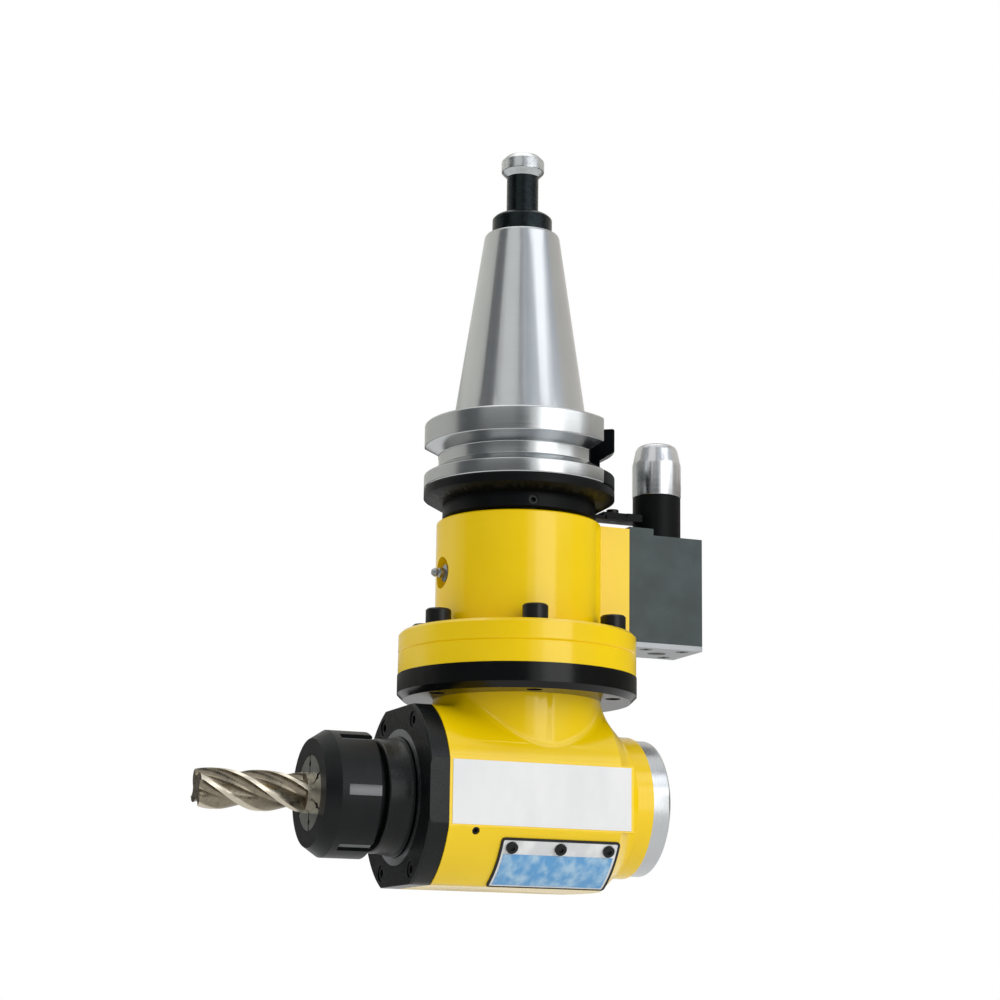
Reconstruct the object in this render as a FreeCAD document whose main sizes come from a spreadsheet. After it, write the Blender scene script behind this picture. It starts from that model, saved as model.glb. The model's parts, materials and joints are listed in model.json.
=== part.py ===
import FreeCAD, Part
import math
import operator
import os
import Sketcher

# Right-angle milling head for a machining centre, with a 7 in 24 taper shank and a collet spindle.
# Millimetres, +Z up the taper. The origin is the centre of the taper's gauge plane.
# The input axis is Z. The output spindle lies along X and its nose points to -X.
# The positioning block stands on the +X side.

SIZES = [
    ("gauge_dia", 69.85, "taper shank: large end of the taper"),
    ("taper_length", 101.8, "taper shank: gauge plane to small end"),
    ("flange_gap", 3.0, "taper shank: gauge plane to flange"),
    ("flange_dia", 100.0, "taper shank: flange"),
    ("flange_reach", 38.0, "taper shank: gauge plane to the flange's far face"),
    ("groove_land", 12.7, "taper shank: land above the gripper groove"),
    ("groove_width", 15.0, "taper shank: mouth of the gripper groove"),
    ("groove_floor_dia", 85.0, "taper shank: floor of the gripper groove"),
    ("groove_flank_angle", 30.0, "taper shank: each flank of the gripper groove"),
    ("drive_slot_width", 25.7, "taper shank: drive slot"),
    ("drive_slot_floor", 35.3, "taper shank: axis to the drive slot's floor"),
    ("drive_slot_turn", 143.0, "taper shank: direction of the drive slots"),
    ("edge_break", 0.8, "small bevel on turned edges"),
    ("hub_dia", 48.0, "taper shank: hub above the bearings"),
    ("stud_thread_dia", 24.0, "pull stud: thread"),
    ("stud_thread_length", 36.0, "pull stud: thread"),
    ("stud_hole_depth", 40.0, "taper shank: hole for the pull stud"),
    ("stud_flange_dia", 32.0, "pull stud: seat flange"),
    ("stud_flange_height", 11.0, "pull stud: seat flange"),
    ("stud_flange_bevel", 1.8, "pull stud: bevel of the seat flange"),
    ("stud_neck_dia", 17.0, "pull stud: neck"),
    ("stud_neck_length", 22.0, "pull stud: neck"),
    ("stud_head_dia", 23.0, "pull stud: head"),
    ("stud_head_height", 12.0, "pull stud: head"),
    ("stud_head_slope", 3.0, "pull stud: height of the head's gripping cone"),
    ("stud_bevel", 3.0, "pull stud: bevel round the top of the head"),
    ("orient_height", 16.0, "orientation ring"),
    ("orient_rim_height", 4.5, "orientation ring: rim under the flange"),
    ("orient_bevel_height", 3.5, "orientation ring: bevel under the rim"),
    ("orient_bevel_dia", 88.0, "orientation ring: foot of the bevel"),
    ("orient_body_dia", 80.0, "orientation ring: lower body"),
    ("orient_bore_dia", 64.0, "orientation ring: seat on the shank"),
    ("notch_width", 12.6, "orientation ring: notch for the lock tongue"),
    ("notch_floor", 35.0, "orientation ring: axis to the notch's floor"),
    ("ring_screw_dia", 5.0, "orientation ring: set screw"),
    ("ring_screw_turn", -102.0, "orientation ring: direction of the set screw"),
    ("housing_gap", 1.7, "upper housing: gap under the orientation ring"),
    ("housing_dia", 85.8, "upper housing: barrel"),
    ("housing_height", 58.3, "upper housing: barrel"),
    ("housing_roof", 6.3, "upper housing: wall over the bearings"),
    ("housing_flange_height", 10.7, "upper housing: flange"),
    ("swivel_dia", 123.0, "flange and swivel ring"),
    ("swivel_height", 11.4, "swivel ring"),
    ("swivel_web", 3.0, "swivel ring: web over the neck"),
    ("swivel_bore_dia", 58.0, "swivel ring: passage for the shaft"),
    ("spigot_height", 5.0, "swivel ring: spigot in the upper housing"),
    ("clamp_proud", 0.3, "clamp ring: step outside the swivel ring"),
    ("clamp_height", 12.6, "clamp ring"),
    ("clamp_bevel", 3.0, "clamp ring: lower bevel"),
    ("groove_seam", 0.6, "hairline bevel where two rings meet"),
    ("boss_reach", 56.0, "upper housing: axis to the boss face"),
    ("boss_width", 34.0, "upper housing: boss and positioning block"),
    ("seal_dia", 56.0, "dust seal: outside"),
    ("seal_height", 5.0, "dust seal"),
    ("flange_screw_count", 6, "flange screws"),
    ("flange_screw_circle", 104.0, "flange screws: bolt circle"),
    ("flange_screw_turn", -163.0, "flange screws: direction of the first"),
    ("flange_screw_dia", 8.0, "flange screws: thread"),
    ("flange_head_dia", 13.0, "flange screws: head"),
    ("flange_head_height", 8.0, "flange screws: head"),
    ("flange_socket", 6.0, "flange screws: socket across flats"),
    ("lock_screw_length", 5.0, "clamp lock screws"),
    ("lock_screw_inset", 0.6, "clamp lock screws: depth below the clamp ring's face"),
    ("lock_socket", 4.0, "clamp lock screws: socket across flats"),
    ("nipple_drop", 28.7, "grease nipple: barrel top to its axis"),
    ("nipple_pocket_dia", 16.5, "grease nipple: pocket"),
    ("nipple_pocket_depth", 4.6, "grease nipple: pocket"),
    ("nipple_thread_dia", 6.0, "grease nipple: thread"),
    ("nipple_length", 9.5, "grease nipple: above the pocket's floor"),
    ("block_reach", 98.5, "positioning block: axis to the far face"),
    ("block_top_drop", 2.3, "positioning block: barrel top to the lower top face"),
    ("block_step_rise", 3.5, "positioning block: raised part of the top"),
    ("block_step_length", 14.0, "positioning block: raised part of the top"),
    ("block_height", 57.2, "positioning block"),
    ("base_plate_height", 2.8, "base plate"),
    ("block_screw_dia", 6.0, "block screws: thread"),
    ("block_screw_head", 10.0, "block screws: head"),
    ("block_screw_sink", 6.5, "block screws: depth of the counterbore"),
    ("block_screw_spread", 22.0, "block screws: between the two"),
    ("block_screw_rise", 9.2, "block screws: above the block's lower face"),
    ("block_screw_bite", 12.0, "block screws: thread in the boss"),
    ("plate_screw_dia", 4.0, "base plate screws: thread"),
    ("plate_screw_head", 7.0, "base plate screws: head"),
    ("plate_screw_length", 6.0, "base plate screws"),
    ("plate_screw_spread", 22.0, "base plate screws: between the two rows"),
    ("plate_screw_inset", 9.0, "base plate screws: to the far face"),
    ("plate_screw_pitch", 21.0, "base plate screws: along the plate"),
    ("pin_offset", 80.0, "locating pin: input axis to pin axis"),
    ("pin_dia", 26.0, "locating pin: nose"),
    ("pin_top_drop", 5.5, "locating pin: gauge plane to its top"),
    ("pin_nose_height", 28.5, "locating pin: bright nose"),
    ("pin_taper_height", 11.0, "locating pin: tapered part of the nose"),
    ("pin_tip_dia", 22.5, "locating pin: top of the taper"),
    ("pin_round", 3.0, "locating pin: round of the tip"),
    ("pin_tip_flat_dia", 17.0, "locating pin: flat at the tip"),
    ("pin_stem_dia", 16.0, "locating pin: stem inside the collar"),
    ("collar_dia", 25.6, "pin collar: outside, which slides in the block"),
    ("collar_length", 52.0, "pin collar"),
    ("pin_travel", 5.0, "locating pin: travel into the block"),
    ("pin_bore_length", 45.5, "positioning block: bore under the raised top"),
    ("spring_wire", 1.8, "pin spring: wire"),
    ("spring_dia", 19.0, "pin spring: mean diameter of the coil"),
    ("spring_turns", 3.25, "pin spring: turns"),
    ("spring_play", 0.3, "pin spring: gap at each end"),
    ("plug_dia", 10.0, "spring plug"),
    ("plug_slot", 1.6, "spring plug: slot"),
    ("plug_slot_depth", 1.6, "spring plug: slot"),
    ("arm_drop", 39.5, "lock arm: pin top to the arm's top"),
    ("arm_height", 4.0, "lock arm"),
    ("arm_width", 12.0, "lock arm"),
    ("arm_tip", 48.0, "lock arm: input axis to its tip"),
    ("tongue_gap", 0.5, "lock tongue: gap to the orientation ring"),
    ("tongue_lap", 12.0, "lock tongue: lap on the arm"),
    ("tongue_width", 10.0, "lock tongue"),
    ("tongue_screw_dia", 4.0, "tongue screw: thread"),
    ("tongue_screw_head", 6.6, "tongue screw: head"),
    ("tongue_screw_rise", 2.3, "tongue screw: head height"),
    ("running_clearance", 0.05, "radial clearance of what turns or slides"),
    ("face_clearance", 0.1, "clearance between faces that turn or slide past each other"),
    ("input_bore", 40.0, "input bearings: bore"),
    ("input_od", 68.0, "input bearings: outside"),
    ("input_width", 15.0, "input bearings: width"),
    ("input_ball", 8.4, "input bearings: ball"),
    ("input_ball_count", 14, "input bearings: balls"),
    ("retainer_height", 7.0, "bearing retainers"),
    ("retainer_bore_dia", 58.0, "bearing retainers"),
    ("locknut_height", 9.0, "input locknut"),
    ("locknut_dia", 55.0, "input locknut"),
    ("sleeve_dia", 49.0, "shaft sleeve"),
    ("spindle_drop", 200.3, "gauge plane to spindle axis"),
    ("neck_dia", 86.0, "head housing: neck"),
    ("neck_rim_dia", 96.0, "head housing: clamped rim of the neck"),
    ("neck_rim_height", 8.0, "head housing: clamped rim of the neck"),
    ("neck_rise", 5.2, "head housing: neck above the rim"),
    ("neck_bearing_rise", 40.2, "spindle axis to the lower face of the neck bearing"),
    ("cavity_dia", 60.0, "head housing: gear chamber"),
    ("body_dia", 100.0, "head housing: barrel"),
    ("body_front", 54.3, "head housing: input axis to the front face"),
    ("body_back", 37.5, "head housing: input axis to the end of the barrel"),
    ("tail_start", 52.0, "head housing: input axis to the foot of the rear cone"),
    ("tail_dia", 73.0, "head housing: tail"),
    ("tail_end", 60.9, "head housing: input axis to the rear face"),
    ("bottom_drop", 44.2, "spindle axis to the bottom flat"),
    ("top_rise", 45.0, "spindle axis to the top flat"),
    ("side_flat", 47.2, "spindle axis to the side flat"),
    ("side_flat_end", 44.5, "head housing: input axis to the end of the label pad"),
    ("cover_dia", 99.0, "front cover"),
    ("cover_height", 10.3, "front cover"),
    ("cover_pocket_dia", 68.0, "front cover: seat of the seal ring"),
    ("cover_web_bore", 55.0, "front cover: web over the bearing"),
    ("cover_screw_circle", 85.0, "cover screws: bolt circle"),
    ("cover_screw_turn", 30.0, "cover screws: angle to the vertical"),
    ("cover_screw_dia", 5.0, "cover screws: thread"),
    ("cover_screw_head", 8.5, "cover screws: head"),
    ("cover_screw_sink", 5.6, "cover screws: depth of the counterbore"),
    ("cover_screw_length", 14.0, "cover screws: under the head"),
    ("seal_ring_height", 3.2, "seal ring"),
    ("seal_ring_bore", 60.6, "seal ring"),
    ("front_bore", 40.0, "front bearings: bore"),
    ("front_od", 62.0, "front bearings: outside"),
    ("front_width", 12.0, "front bearings: width"),
    ("front_ball", 6.6, "front bearings: ball"),
    ("front_ball_count", 18, "front bearings: balls"),
    ("front_start", 34.6, "input axis to the first front bearing"),
    ("front_locknut_height", 6.0, "front locknut"),
    ("front_locknut_dia", 51.0, "front locknut"),
    ("rear_bore", 25.0, "rear bearing: bore"),
    ("rear_od", 62.0, "rear bearing: outside"),
    ("rear_width", 17.0, "rear bearing: width"),
    ("rear_ball", 11.0, "rear bearing: ball"),
    ("rear_ball_count", 9, "rear bearing: balls"),
    ("rear_start", 34.0, "input axis to the rear bearing"),
    ("rear_locknut_height", 8.0, "rear locknut"),
    ("rear_locknut_dia", 38.0, "rear locknut"),
    ("rear_thread_dia", 24.0, "output spindle: rear thread"),
    ("spindle_tail", 60.0, "output spindle: input axis to its rear end"),
    ("cap_dia", 70.1, "rear cap"),
    ("cap_height", 10.4, "rear cap"),
    ("cap_wall", 5.0, "rear cap: end wall"),
    ("cap_bore_dia", 50.0, "rear cap: inside"),
    ("cap_hole_dia", 5.0, "rear cap: spanner holes"),
    ("cap_hole_spread", 46.0, "rear cap: between the spanner holes"),
    ("gear_teeth", 20, "bevel gears: teeth"),
    ("gear_pitch_dia", 48.0, "bevel gears: pitch circle at the large end"),
    ("gear_face", 10.0, "bevel gears: tooth length"),
    ("gear_backlash", 0.35, "bevel gears: play between the teeth"),
    ("input_gear_bore", 16.0, "input bevel gear: bore"),
    ("input_gear_hub", 40.0, "input bevel gear: hub"),
    ("gear_recess_dia", 22.0, "input bevel gear: recess for the screw"),
    ("gear_recess_depth", 5.0, "input bevel gear: recess for the screw"),
    ("gear_screw_dia", 8.0, "input gear screw: thread"),
    ("gear_screw_length", 16.0, "input gear screw: thread"),
    ("gear_screw_height", 4.2, "input gear screw: head"),
    ("gear_screw_play", 0.5, "input gear screw: gap round its head"),
    ("output_gear_bore", 26.0, "output bevel gear: bore"),
    ("output_gear_hub", 36.0, "output bevel gear: hub"),
    ("key_width", 5.0, "gear keys"),
    ("key_height", 5.0, "gear keys"),
    ("key_length", 8.0, "gear keys"),
    ("waist_dia", 30.0, "output spindle: between the gears"),
    ("nose_land_dia", 48.0, "output spindle: land behind the nose thread"),
    ("nose_thread_dia", 50.0, "output spindle: nose thread"),
    ("nose_thread_start", 80.0, "output spindle: input axis to the nose thread"),
    ("nose_end", 104.0, "output spindle: input axis to its front face"),
    ("collet_seat_dia", 41.0, "output spindle: mouth of the collet seat"),
    ("collet_seat_angle", 8.0, "output spindle: half angle of the collet seat"),
    ("collet_seat_depth", 42.0, "output spindle: collet seat"),
    ("shank_bore_dia", 22.0, "output spindle: room for the tool shank"),
    ("shank_bore_depth", 17.0, "output spindle: room for the tool shank"),
    ("nose_collar_start", 65.2, "nose collar: input axis to its back"),
    ("nose_collar_length", 13.4, "nose collar"),
    ("nose_collar_dia", 57.0, "nose collar: front"),
    ("nose_collar_foot_dia", 60.0, "nose collar: back"),
    ("nut_back", 82.6, "collet nut: input axis to its back"),
    ("nut_front", 110.6, "collet nut: input axis to its front"),
    ("nut_dia", 63.0, "collet nut"),
    ("nut_nose_dia", 54.0, "collet nut: front face"),
    ("nut_bevel", 7.0, "collet nut: height of the front bevel"),
    ("nut_mouth_dia", 37.5, "collet nut: mouth"),
    ("nut_groove_dia", 45.0, "collet nut: groove of the extractor ring"),
    ("nut_slot_count", 6, "collet nut: spanner slots"),
    ("nut_slot_width", 5.5, "collet nut: spanner slots"),
    ("nut_slot_depth", 2.4, "collet nut: spanner slots"),
    ("nut_slot_length", 17.4, "collet nut: spanner slots"),
    ("nut_slot_turn", 30.0, "collet nut: direction of the first slot from straight up"),
    ("collet_start", 65.0, "collet: input axis to its back"),
    ("collet_groove_start", 103.6, "collet: input axis to the groove"),
    ("collet_groove_width", 2.5, "collet: groove"),
    ("collet_groove_dia", 36.4, "collet: groove"),
    ("collet_head_dia", 41.2, "collet: head"),
    ("collet_face_dia", 37.2, "collet: front face"),
    ("collet_front", 110.4, "collet: input axis to its front face"),
    ("collet_slit", 1.2, "collet: slits"),
    ("collet_slit_count", 6, "collet: slits from each end"),
    ("collet_slit_length", 38.0, "collet: slits"),
    ("collet_hole_dia", 3.0, "collet: hole at the end of each slit"),
    ("extractor_width", 1.5, "extractor ring"),
    ("mill_dia", 20.0, "end mill"),
    ("mill_back", 68.0, "end mill: input axis to its back"),
    ("mill_flute_start", 114.0, "end mill: input axis to the start of the flutes"),
    ("mill_tip", 168.0, "end mill: input axis to its tip"),
    ("mill_core_dia", 11.6, "end mill: core"),
    ("mill_flutes", 4, "end mill: flutes"),
    ("mill_helix_angle", 33.0, "end mill: helix"),
    ("mill_land", 2.4, "end mill: land of each tooth"),
    ("plate_front", 25.0, "name plate: input axis to its front edge"),
    ("plate_back", 37.0, "name plate: input axis to its rear edge"),
    ("plate_top_angle", 26.0, "name plate: upper edge below the horizontal"),
    ("plate_span", 34.0, "name plate: angle"),
    ("plate_thickness", 1.6, "name plate"),
    ("plate_proud", 0.6, "name plate: above the barrel"),
    ("plate_gap", 0.5, "name plate: gap in its recess"),
    ("name_screw_head", 6.0, "name plate screws: head"),
    ("name_screw_rise", 1.6, "name plate screws: head height"),
    ("name_screw_dia", 3.0, "name plate screws: thread"),
    ("name_screw_length", 6.0, "name plate screws"),
    ("name_screw_inset", 5.0, "name plate screws: to the ends of the plate"),
    ("name_screw_angle", 4.5, "name plate screws: below the upper edge, as an angle"),
    ("label_thickness", 0.3, "labels"),
    ("label_margin", 1.6, "labels: to the edges"),
    ("side_label_height", 31.4, "side label"),
    ("label_angle", 9.0, "name label: upper edge below the plate's, as an angle"),
    ("label_foot_angle", 2.0, "name label: lower edge above the plate's, as an angle"),
    ("plug_screw_dia", 4.0, "grease plug"),
    ("plug_screw_length", 4.0, "grease plug"),
    ("plug_screw_place", 40.0, "grease plug: input axis to its axis"),
    ("plug_screw_angle", 22.0, "grease plug: below the horizontal"),
]

TAPER_RISE = 7
TAPER_RUN = 24
PRESSURE_ANGLE = 20.0

doc = FreeCAD.newDocument("AngleHead")
kept = {}


class Size:
    """A size with its formula, so that sums of sizes stay bound to the sheet."""

    SIGNS = {"+": operator.add, "-": operator.sub, "*": operator.mul, "/": operator.truediv}

    def __init__(self, formula, number):
        self.formula = formula
        self.number = number

    def __float__(self):
        return float(self.number)

    def __neg__(self):
        return Size("(-%s)" % self.formula, -self.number)

    def __add__(self, other):
        return joined(self, "+", other)

    def __sub__(self, other):
        return joined(self, "-", other)

    def __mul__(self, other):
        return joined(self, "*", other)

    def __truediv__(self, other):
        return joined(self, "/", other)

    def __radd__(self, other):
        return joined(other, "+", self)

    def __rsub__(self, other):
        return joined(other, "-", self)

    def __rmul__(self, other):
        return joined(other, "*", self)

    def __rtruediv__(self, other):
        return joined(other, "/", self)


def formula(value):
    return value.formula if isinstance(value, Size) else repr(float(value))


def joined(left, sign, right):
    number = Size.SIGNS[sign](float(left), float(right))
    return Size("(%s %s %s)" % (formula(left), sign, formula(right)), number)


def tangent(angle):
    return Size("tan(%s * 1 deg)" % formula(angle), math.tan(math.radians(float(angle))))


class Sizes:
    """The sheet's driving dimensions, read by name."""

    def __init__(self, rows):
        sheet = doc.addObject("Spreadsheet::Sheet", "Sizes")
        for row, (name, value, note) in enumerate(rows, start=1):
            sheet.set("A%d" % row, note)
            sheet.set("B%d" % row, str(value))
            sheet.setAlias("B%d" % row, name)
            setattr(self, name, Size("Sizes." + name, value))
        doc.recompute()


S = Sizes(SIZES)

# Heights along the input axis, from the top down.
Z_FLANGE_TOP = -S.flange_gap
Z_GROOVE_TOP = Z_FLANGE_TOP - S.groove_land
Z_GROOVE_END = Z_GROOVE_TOP - S.groove_width
Z_FLANGE_END = -S.flange_reach
Z_ORIENT_END = Z_FLANGE_END - S.orient_height
Z_HOUSING_TOP = Z_ORIENT_END - S.housing_gap
Z_BEARING_TOP = Z_HOUSING_TOP - S.housing_roof
Z_BEARING_END = Z_BEARING_TOP - S.input_width * 2
Z_LOCKNUT_END = Z_BEARING_END - S.locknut_height
Z_FLANGE_SEAT = Z_HOUSING_TOP - S.housing_height
Z_SWIVEL_TOP = Z_FLANGE_SEAT - S.housing_flange_height
Z_CLAMP_TOP = Z_SWIVEL_TOP - S.swivel_height
Z_CLAMP_END = Z_CLAMP_TOP - S.clamp_height
Z_AXIS = -S.spindle_drop
Z_NECK_TOP = Z_SWIVEL_TOP - S.swivel_web - S.face_clearance
Z_RIM_TOP = Z_NECK_TOP - S.neck_rise
Z_RIM_END = Z_RIM_TOP - S.neck_rim_height
Z_NECK_BEARING_END = Z_AXIS + S.neck_bearing_rise
Z_NECK_BEARING_TOP = Z_NECK_BEARING_END + S.input_width
Z_BLOCK_TOP = Z_HOUSING_TOP - S.block_top_drop
Z_BLOCK_STEP = Z_BLOCK_TOP + S.block_step_rise
Z_BLOCK_END = Z_BLOCK_TOP - S.block_height
Z_PLATE_END = Z_BLOCK_END - S.base_plate_height
Z_PIN_BORE_END = Z_BLOCK_STEP - S.pin_bore_length
Z_PIN_TOP = -S.pin_top_drop
Z_COLLAR_TOP = Z_PIN_TOP - S.pin_nose_height
Z_COLLAR_END = Z_COLLAR_TOP - S.collar_length
Z_ARM_TOP = Z_PIN_TOP - S.arm_drop
Z_ARM_END = Z_ARM_TOP - S.arm_height

# Stations along the spindle, forward of the input axis. Behind it they are negative.
SPINDLE_FRAME = FreeCAD.Placement(
    FreeCAD.Vector(0, 0, Z_AXIS),
    FreeCAD.Rotation(FreeCAD.Vector(0, 1, 0), -90),
)
COVER_FACE = S.body_front + S.cover_height
FRONT_END = S.front_start + S.front_width * 2
REAR_END = -(S.rear_start + S.rear_width)
SEAT_SLOPE = tangent(S.collet_seat_angle)
SEAT_END = S.nose_end - S.collet_seat_depth

# The bevel gears share a cone angle of 45 degrees and meet at the crossing of the two axes.
PITCH_RADIUS = S.gear_pitch_dia / 2
FACE_RISE = S.gear_face / math.sqrt(2)
GEAR_TOE = PITCH_RADIUS - FACE_RISE


def keep(item, name):
    item.Label = name
    kept[name] = item
    return item


def bind(item, setting, value):
    item.setExpression(setting, formula(value))


def on_spindle(item):
    item.Placement = SPINDLE_FRAME
    bind(item, "Placement.Base.z", Z_AXIS)
    return item


def origin_plane(body, role):
    return next(feature for feature in body.Origin.OriginFeatures if feature.Role == role)


def outline_sketch(body, outline):
    """A closed outline of (radius, height) corners in the body's XZ plane."""
    sketch = body.newObject("Sketcher::SketchObject", "outline")
    sketch.AttachmentSupport = [(origin_plane(body, "XZ_Plane"), "")]
    sketch.MapMode = "FlatFace"
    corners = [FreeCAD.Vector(float(radius), float(height), 0) for radius, height in outline]
    count = len(corners)
    sketch.addGeometry([Part.LineSegment(corners[i], corners[(i + 1) % count]) for i in range(count)])
    sketch.addConstraint([Sketcher.Constraint("Coincident", i, 2, (i + 1) % count, 1) for i in range(count)])
    for i, (radius, height) in enumerate(outline):
        for kind, axis, value in (("DistanceX", -2, radius), ("DistanceY", -1, height)):
            if isinstance(value, Size):
                number = sketch.addConstraint(Sketcher.Constraint(kind, -1, 1, i, 1, float(value)))
                sketch.setExpression("Constraints[%d]" % number, value.formula)
            else:
                sketch.addConstraint(Sketcher.Constraint("PointOnObject", i, 1, axis))
    return sketch


def turned(name, outline):
    """A turned piece: the outline revolved about the body's Z axis."""
    body = doc.addObject("PartDesign::Body", name)
    sketch = outline_sketch(body, outline)
    revolution = body.newObject("PartDesign::Revolution", "turning")
    revolution.Profile = sketch
    revolution.ReferenceAxis = (sketch, ["V_Axis"])
    revolution.Angle = 360
    sketch.Visibility = False
    return body


def washer(name, inner_dia, outer_dia, low, high):
    return turned(name, [
        (inner_dia / 2, low), (outer_dia / 2, low), (outer_dia / 2, high), (inner_dia / 2, high),
    ])


def rod(radius, low, high, centre=(0, 0), along="Z"):
    """A cylinder from low to high along an axis, with its centre on the two other coordinates."""
    item = doc.addObject("Part::Cylinder", "rod")
    bind(item, "Radius", radius)
    bind(item, "Height", high - low)
    places = {"Z": (centre[0], centre[1], low), "X": (low, centre[0], centre[1])}
    if along == "X":
        item.Placement.Rotation = FreeCAD.Rotation(FreeCAD.Vector(0, 1, 0), 90)
    for letter, value in zip("xyz", places[along]):
        bind(item, "Placement.Base." + letter, value)
    return item


def cone(foot_radius, top_radius, low, high):
    """A cone along X, from its foot at low to its top at high, on the spindle axis."""
    item = doc.addObject("Part::Cone", "cone")
    bind(item, "Radius1", foot_radius)
    bind(item, "Radius2", top_radius)
    bind(item, "Height", high - low)
    item.Placement.Rotation = FreeCAD.Rotation(FreeCAD.Vector(0, 1, 0), 90)
    bind(item, "Placement.Base.x", low)
    bind(item, "Placement.Base.z", Z_AXIS)
    return item


def box(x, y, z):
    """A box between three pairs of limits."""
    item = doc.addObject("Part::Box", "box")
    for (low, high), side, letter in zip((x, y, z), ("Length", "Width", "Height"), "xyz"):
        bind(item, side, high - low)
        bind(item, "Placement.Base." + letter, low)
    return item


def turned_about(item, angle):
    """The item, turned about Z by an angle of the sheet."""
    holder = doc.addObject("Part::Compound", "turned")
    holder.Links = [item]
    holder.Placement.Rotation = FreeCAD.Rotation(FreeCAD.Vector(0, 0, 1), float(angle))
    bind(holder, "Placement.Rotation.Angle", angle)
    return holder


def fused(items):
    item = doc.addObject("Part::MultiFuse", "fused")
    item.Shapes = items
    return item


def cut(base, tools):
    item = doc.addObject("Part::Cut", "cut")
    item.Base = base
    item.Tool = tools[0] if len(tools) == 1 else fused(tools)
    return item


def compound(items):
    item = doc.addObject("Part::Compound", "group")
    item.Links = items
    return item


def feature(name, shape, frame=None):
    item = doc.addObject("Part::Feature", name)
    item.Shape = shape
    if frame:
        item.Placement = frame
    return keep(item, name)


def ring_places(count, circle_dia, height, first_turn):
    """Placements on a bolt circle about Z."""
    places = []
    for index in range(int(float(count))):
        turn = math.radians(float(first_turn) + 360.0 * index / float(count))
        reach = float(circle_dia) / 2
        base = FreeCAD.Vector(reach * math.cos(turn), reach * math.sin(turn), float(height))
        places.append(FreeCAD.Placement(base, FreeCAD.Rotation(FreeCAD.Vector(0, 0, 1), math.degrees(turn))))
    return places


def copies(name, pattern, places, frame=None):
    """One node with a copy of the pattern's solid at each place."""
    doc.recompute()
    solids = [pattern.Shape.transformed(place.toMatrix()) for place in places]
    return feature(name, Part.makeCompound(solids), frame)


def drilled(base, places, dia, depth, frame=None):
    """The base with a round hole of one depth below each place."""
    holes = []
    for place in places:
        hole = doc.addObject("Part::Cylinder", "hole")
        bind(hole, "Radius", dia / 2)
        bind(hole, "Height", depth)
        hole.Placement = place.multiply(FreeCAD.Placement(FreeCAD.Vector(0, 0, -float(depth)), FreeCAD.Rotation()))
        holes.append(hole)
    group = compound(holes)
    if frame:
        group.Placement = frame
    item = doc.addObject("Part::Cut", "drilled")
    item.Base = base
    item.Tool = group
    return item


def placed(name, item, place):
    item.Placement = place
    return keep(item, name)


def cap_screw(dia, length, head_dia, head_height, socket):
    """A socket head screw. Its seat is at height 0 and the head is above."""
    break_size = head_height / 10
    screw = turned("screw", [
        (0, -length), (dia / 2, -length), (dia / 2, 0), (head_dia / 2, 0),
        (head_dia / 2, head_height - break_size), (head_dia / 2 - break_size, head_height), (0, head_height),
    ])
    prism = doc.addObject("Part::Prism", "socket")
    prism.Polygon = 6
    bind(prism, "Circumradius", socket / math.sqrt(3))
    bind(prism, "Height", head_height)
    bind(prism, "Placement.Base.z", head_height / 2)
    return cut(screw, [prism])


def grub_screw(dia, length, socket):
    """A headless screw with its top at height 0."""
    prism = doc.addObject("Part::Prism", "socket")
    prism.Polygon = 6
    bind(prism, "Circumradius", socket / math.sqrt(3))
    bind(prism, "Height", length / 2)
    bind(prism, "Placement.Base.z", -length / 2)
    return cut(rod(dia / 2, -length, Size("0", 0.0)), [prism])


def taper_shank():
    gauge_radius = S.gauge_dia / 2
    small_radius = gauge_radius - S.taper_length * TAPER_RISE / TAPER_RUN / 2
    rim_radius = S.flange_dia / 2
    floor_radius = S.groove_floor_dia / 2
    flank = (rim_radius - floor_radius) * tangent(S.groove_flank_angle)
    stud_radius = S.stud_thread_dia / 2
    journal = S.input_bore / 2
    seat = S.input_gear_bore / 2
    blank = turned("shank_turning", [
        (0, S.taper_length - S.stud_hole_depth), (stud_radius, S.taper_length - S.stud_hole_depth),
        (stud_radius, S.taper_length), (small_radius - S.edge_break, S.taper_length),
        (small_radius, S.taper_length - S.edge_break * 2), (gauge_radius, 0), (gauge_radius, Z_FLANGE_TOP),
        (rim_radius - S.edge_break, Z_FLANGE_TOP), (rim_radius, Z_FLANGE_TOP - S.edge_break),
        (rim_radius, Z_GROOVE_TOP), (floor_radius, Z_GROOVE_TOP - flank),
        (floor_radius, Z_GROOVE_END + flank), (rim_radius, Z_GROOVE_END),
        (rim_radius, Z_FLANGE_END + S.groove_seam), (rim_radius - S.groove_seam, Z_FLANGE_END),
        (S.orient_bore_dia / 2, Z_FLANGE_END), (S.orient_bore_dia / 2, Z_ORIENT_END),
        (S.hub_dia / 2, Z_ORIENT_END), (S.hub_dia / 2, Z_BEARING_TOP), (journal, Z_BEARING_TOP),
        (journal, Z_NECK_BEARING_END), (seat, Z_NECK_BEARING_END),
        (seat, Z_AXIS + GEAR_TOE + S.gear_recess_depth), (0, Z_AXIS + GEAR_TOE + S.gear_recess_depth),
    ])
    half = S.drive_slot_width / 2
    slots = []
    for side in (-1, 1):
        near = S.drive_slot_floor * side
        far = rim_radius * side * 1.1
        limits = (near, far) if side > 0 else (far, near)
        slots.append(turned_about(box(limits, (-half, half), (Z_GROOVE_END, Z_FLANGE_TOP)), S.drive_slot_turn))
    screw_depth = S.gear_screw_length
    end = Z_AXIS + GEAR_TOE + S.gear_recess_depth
    tapped = rod(S.gear_screw_dia / 2, end, end + screw_depth)
    keyway = input_key_box()
    keep(cut(blank, slots + [tapped, keyway]), "taper_shank")


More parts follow.
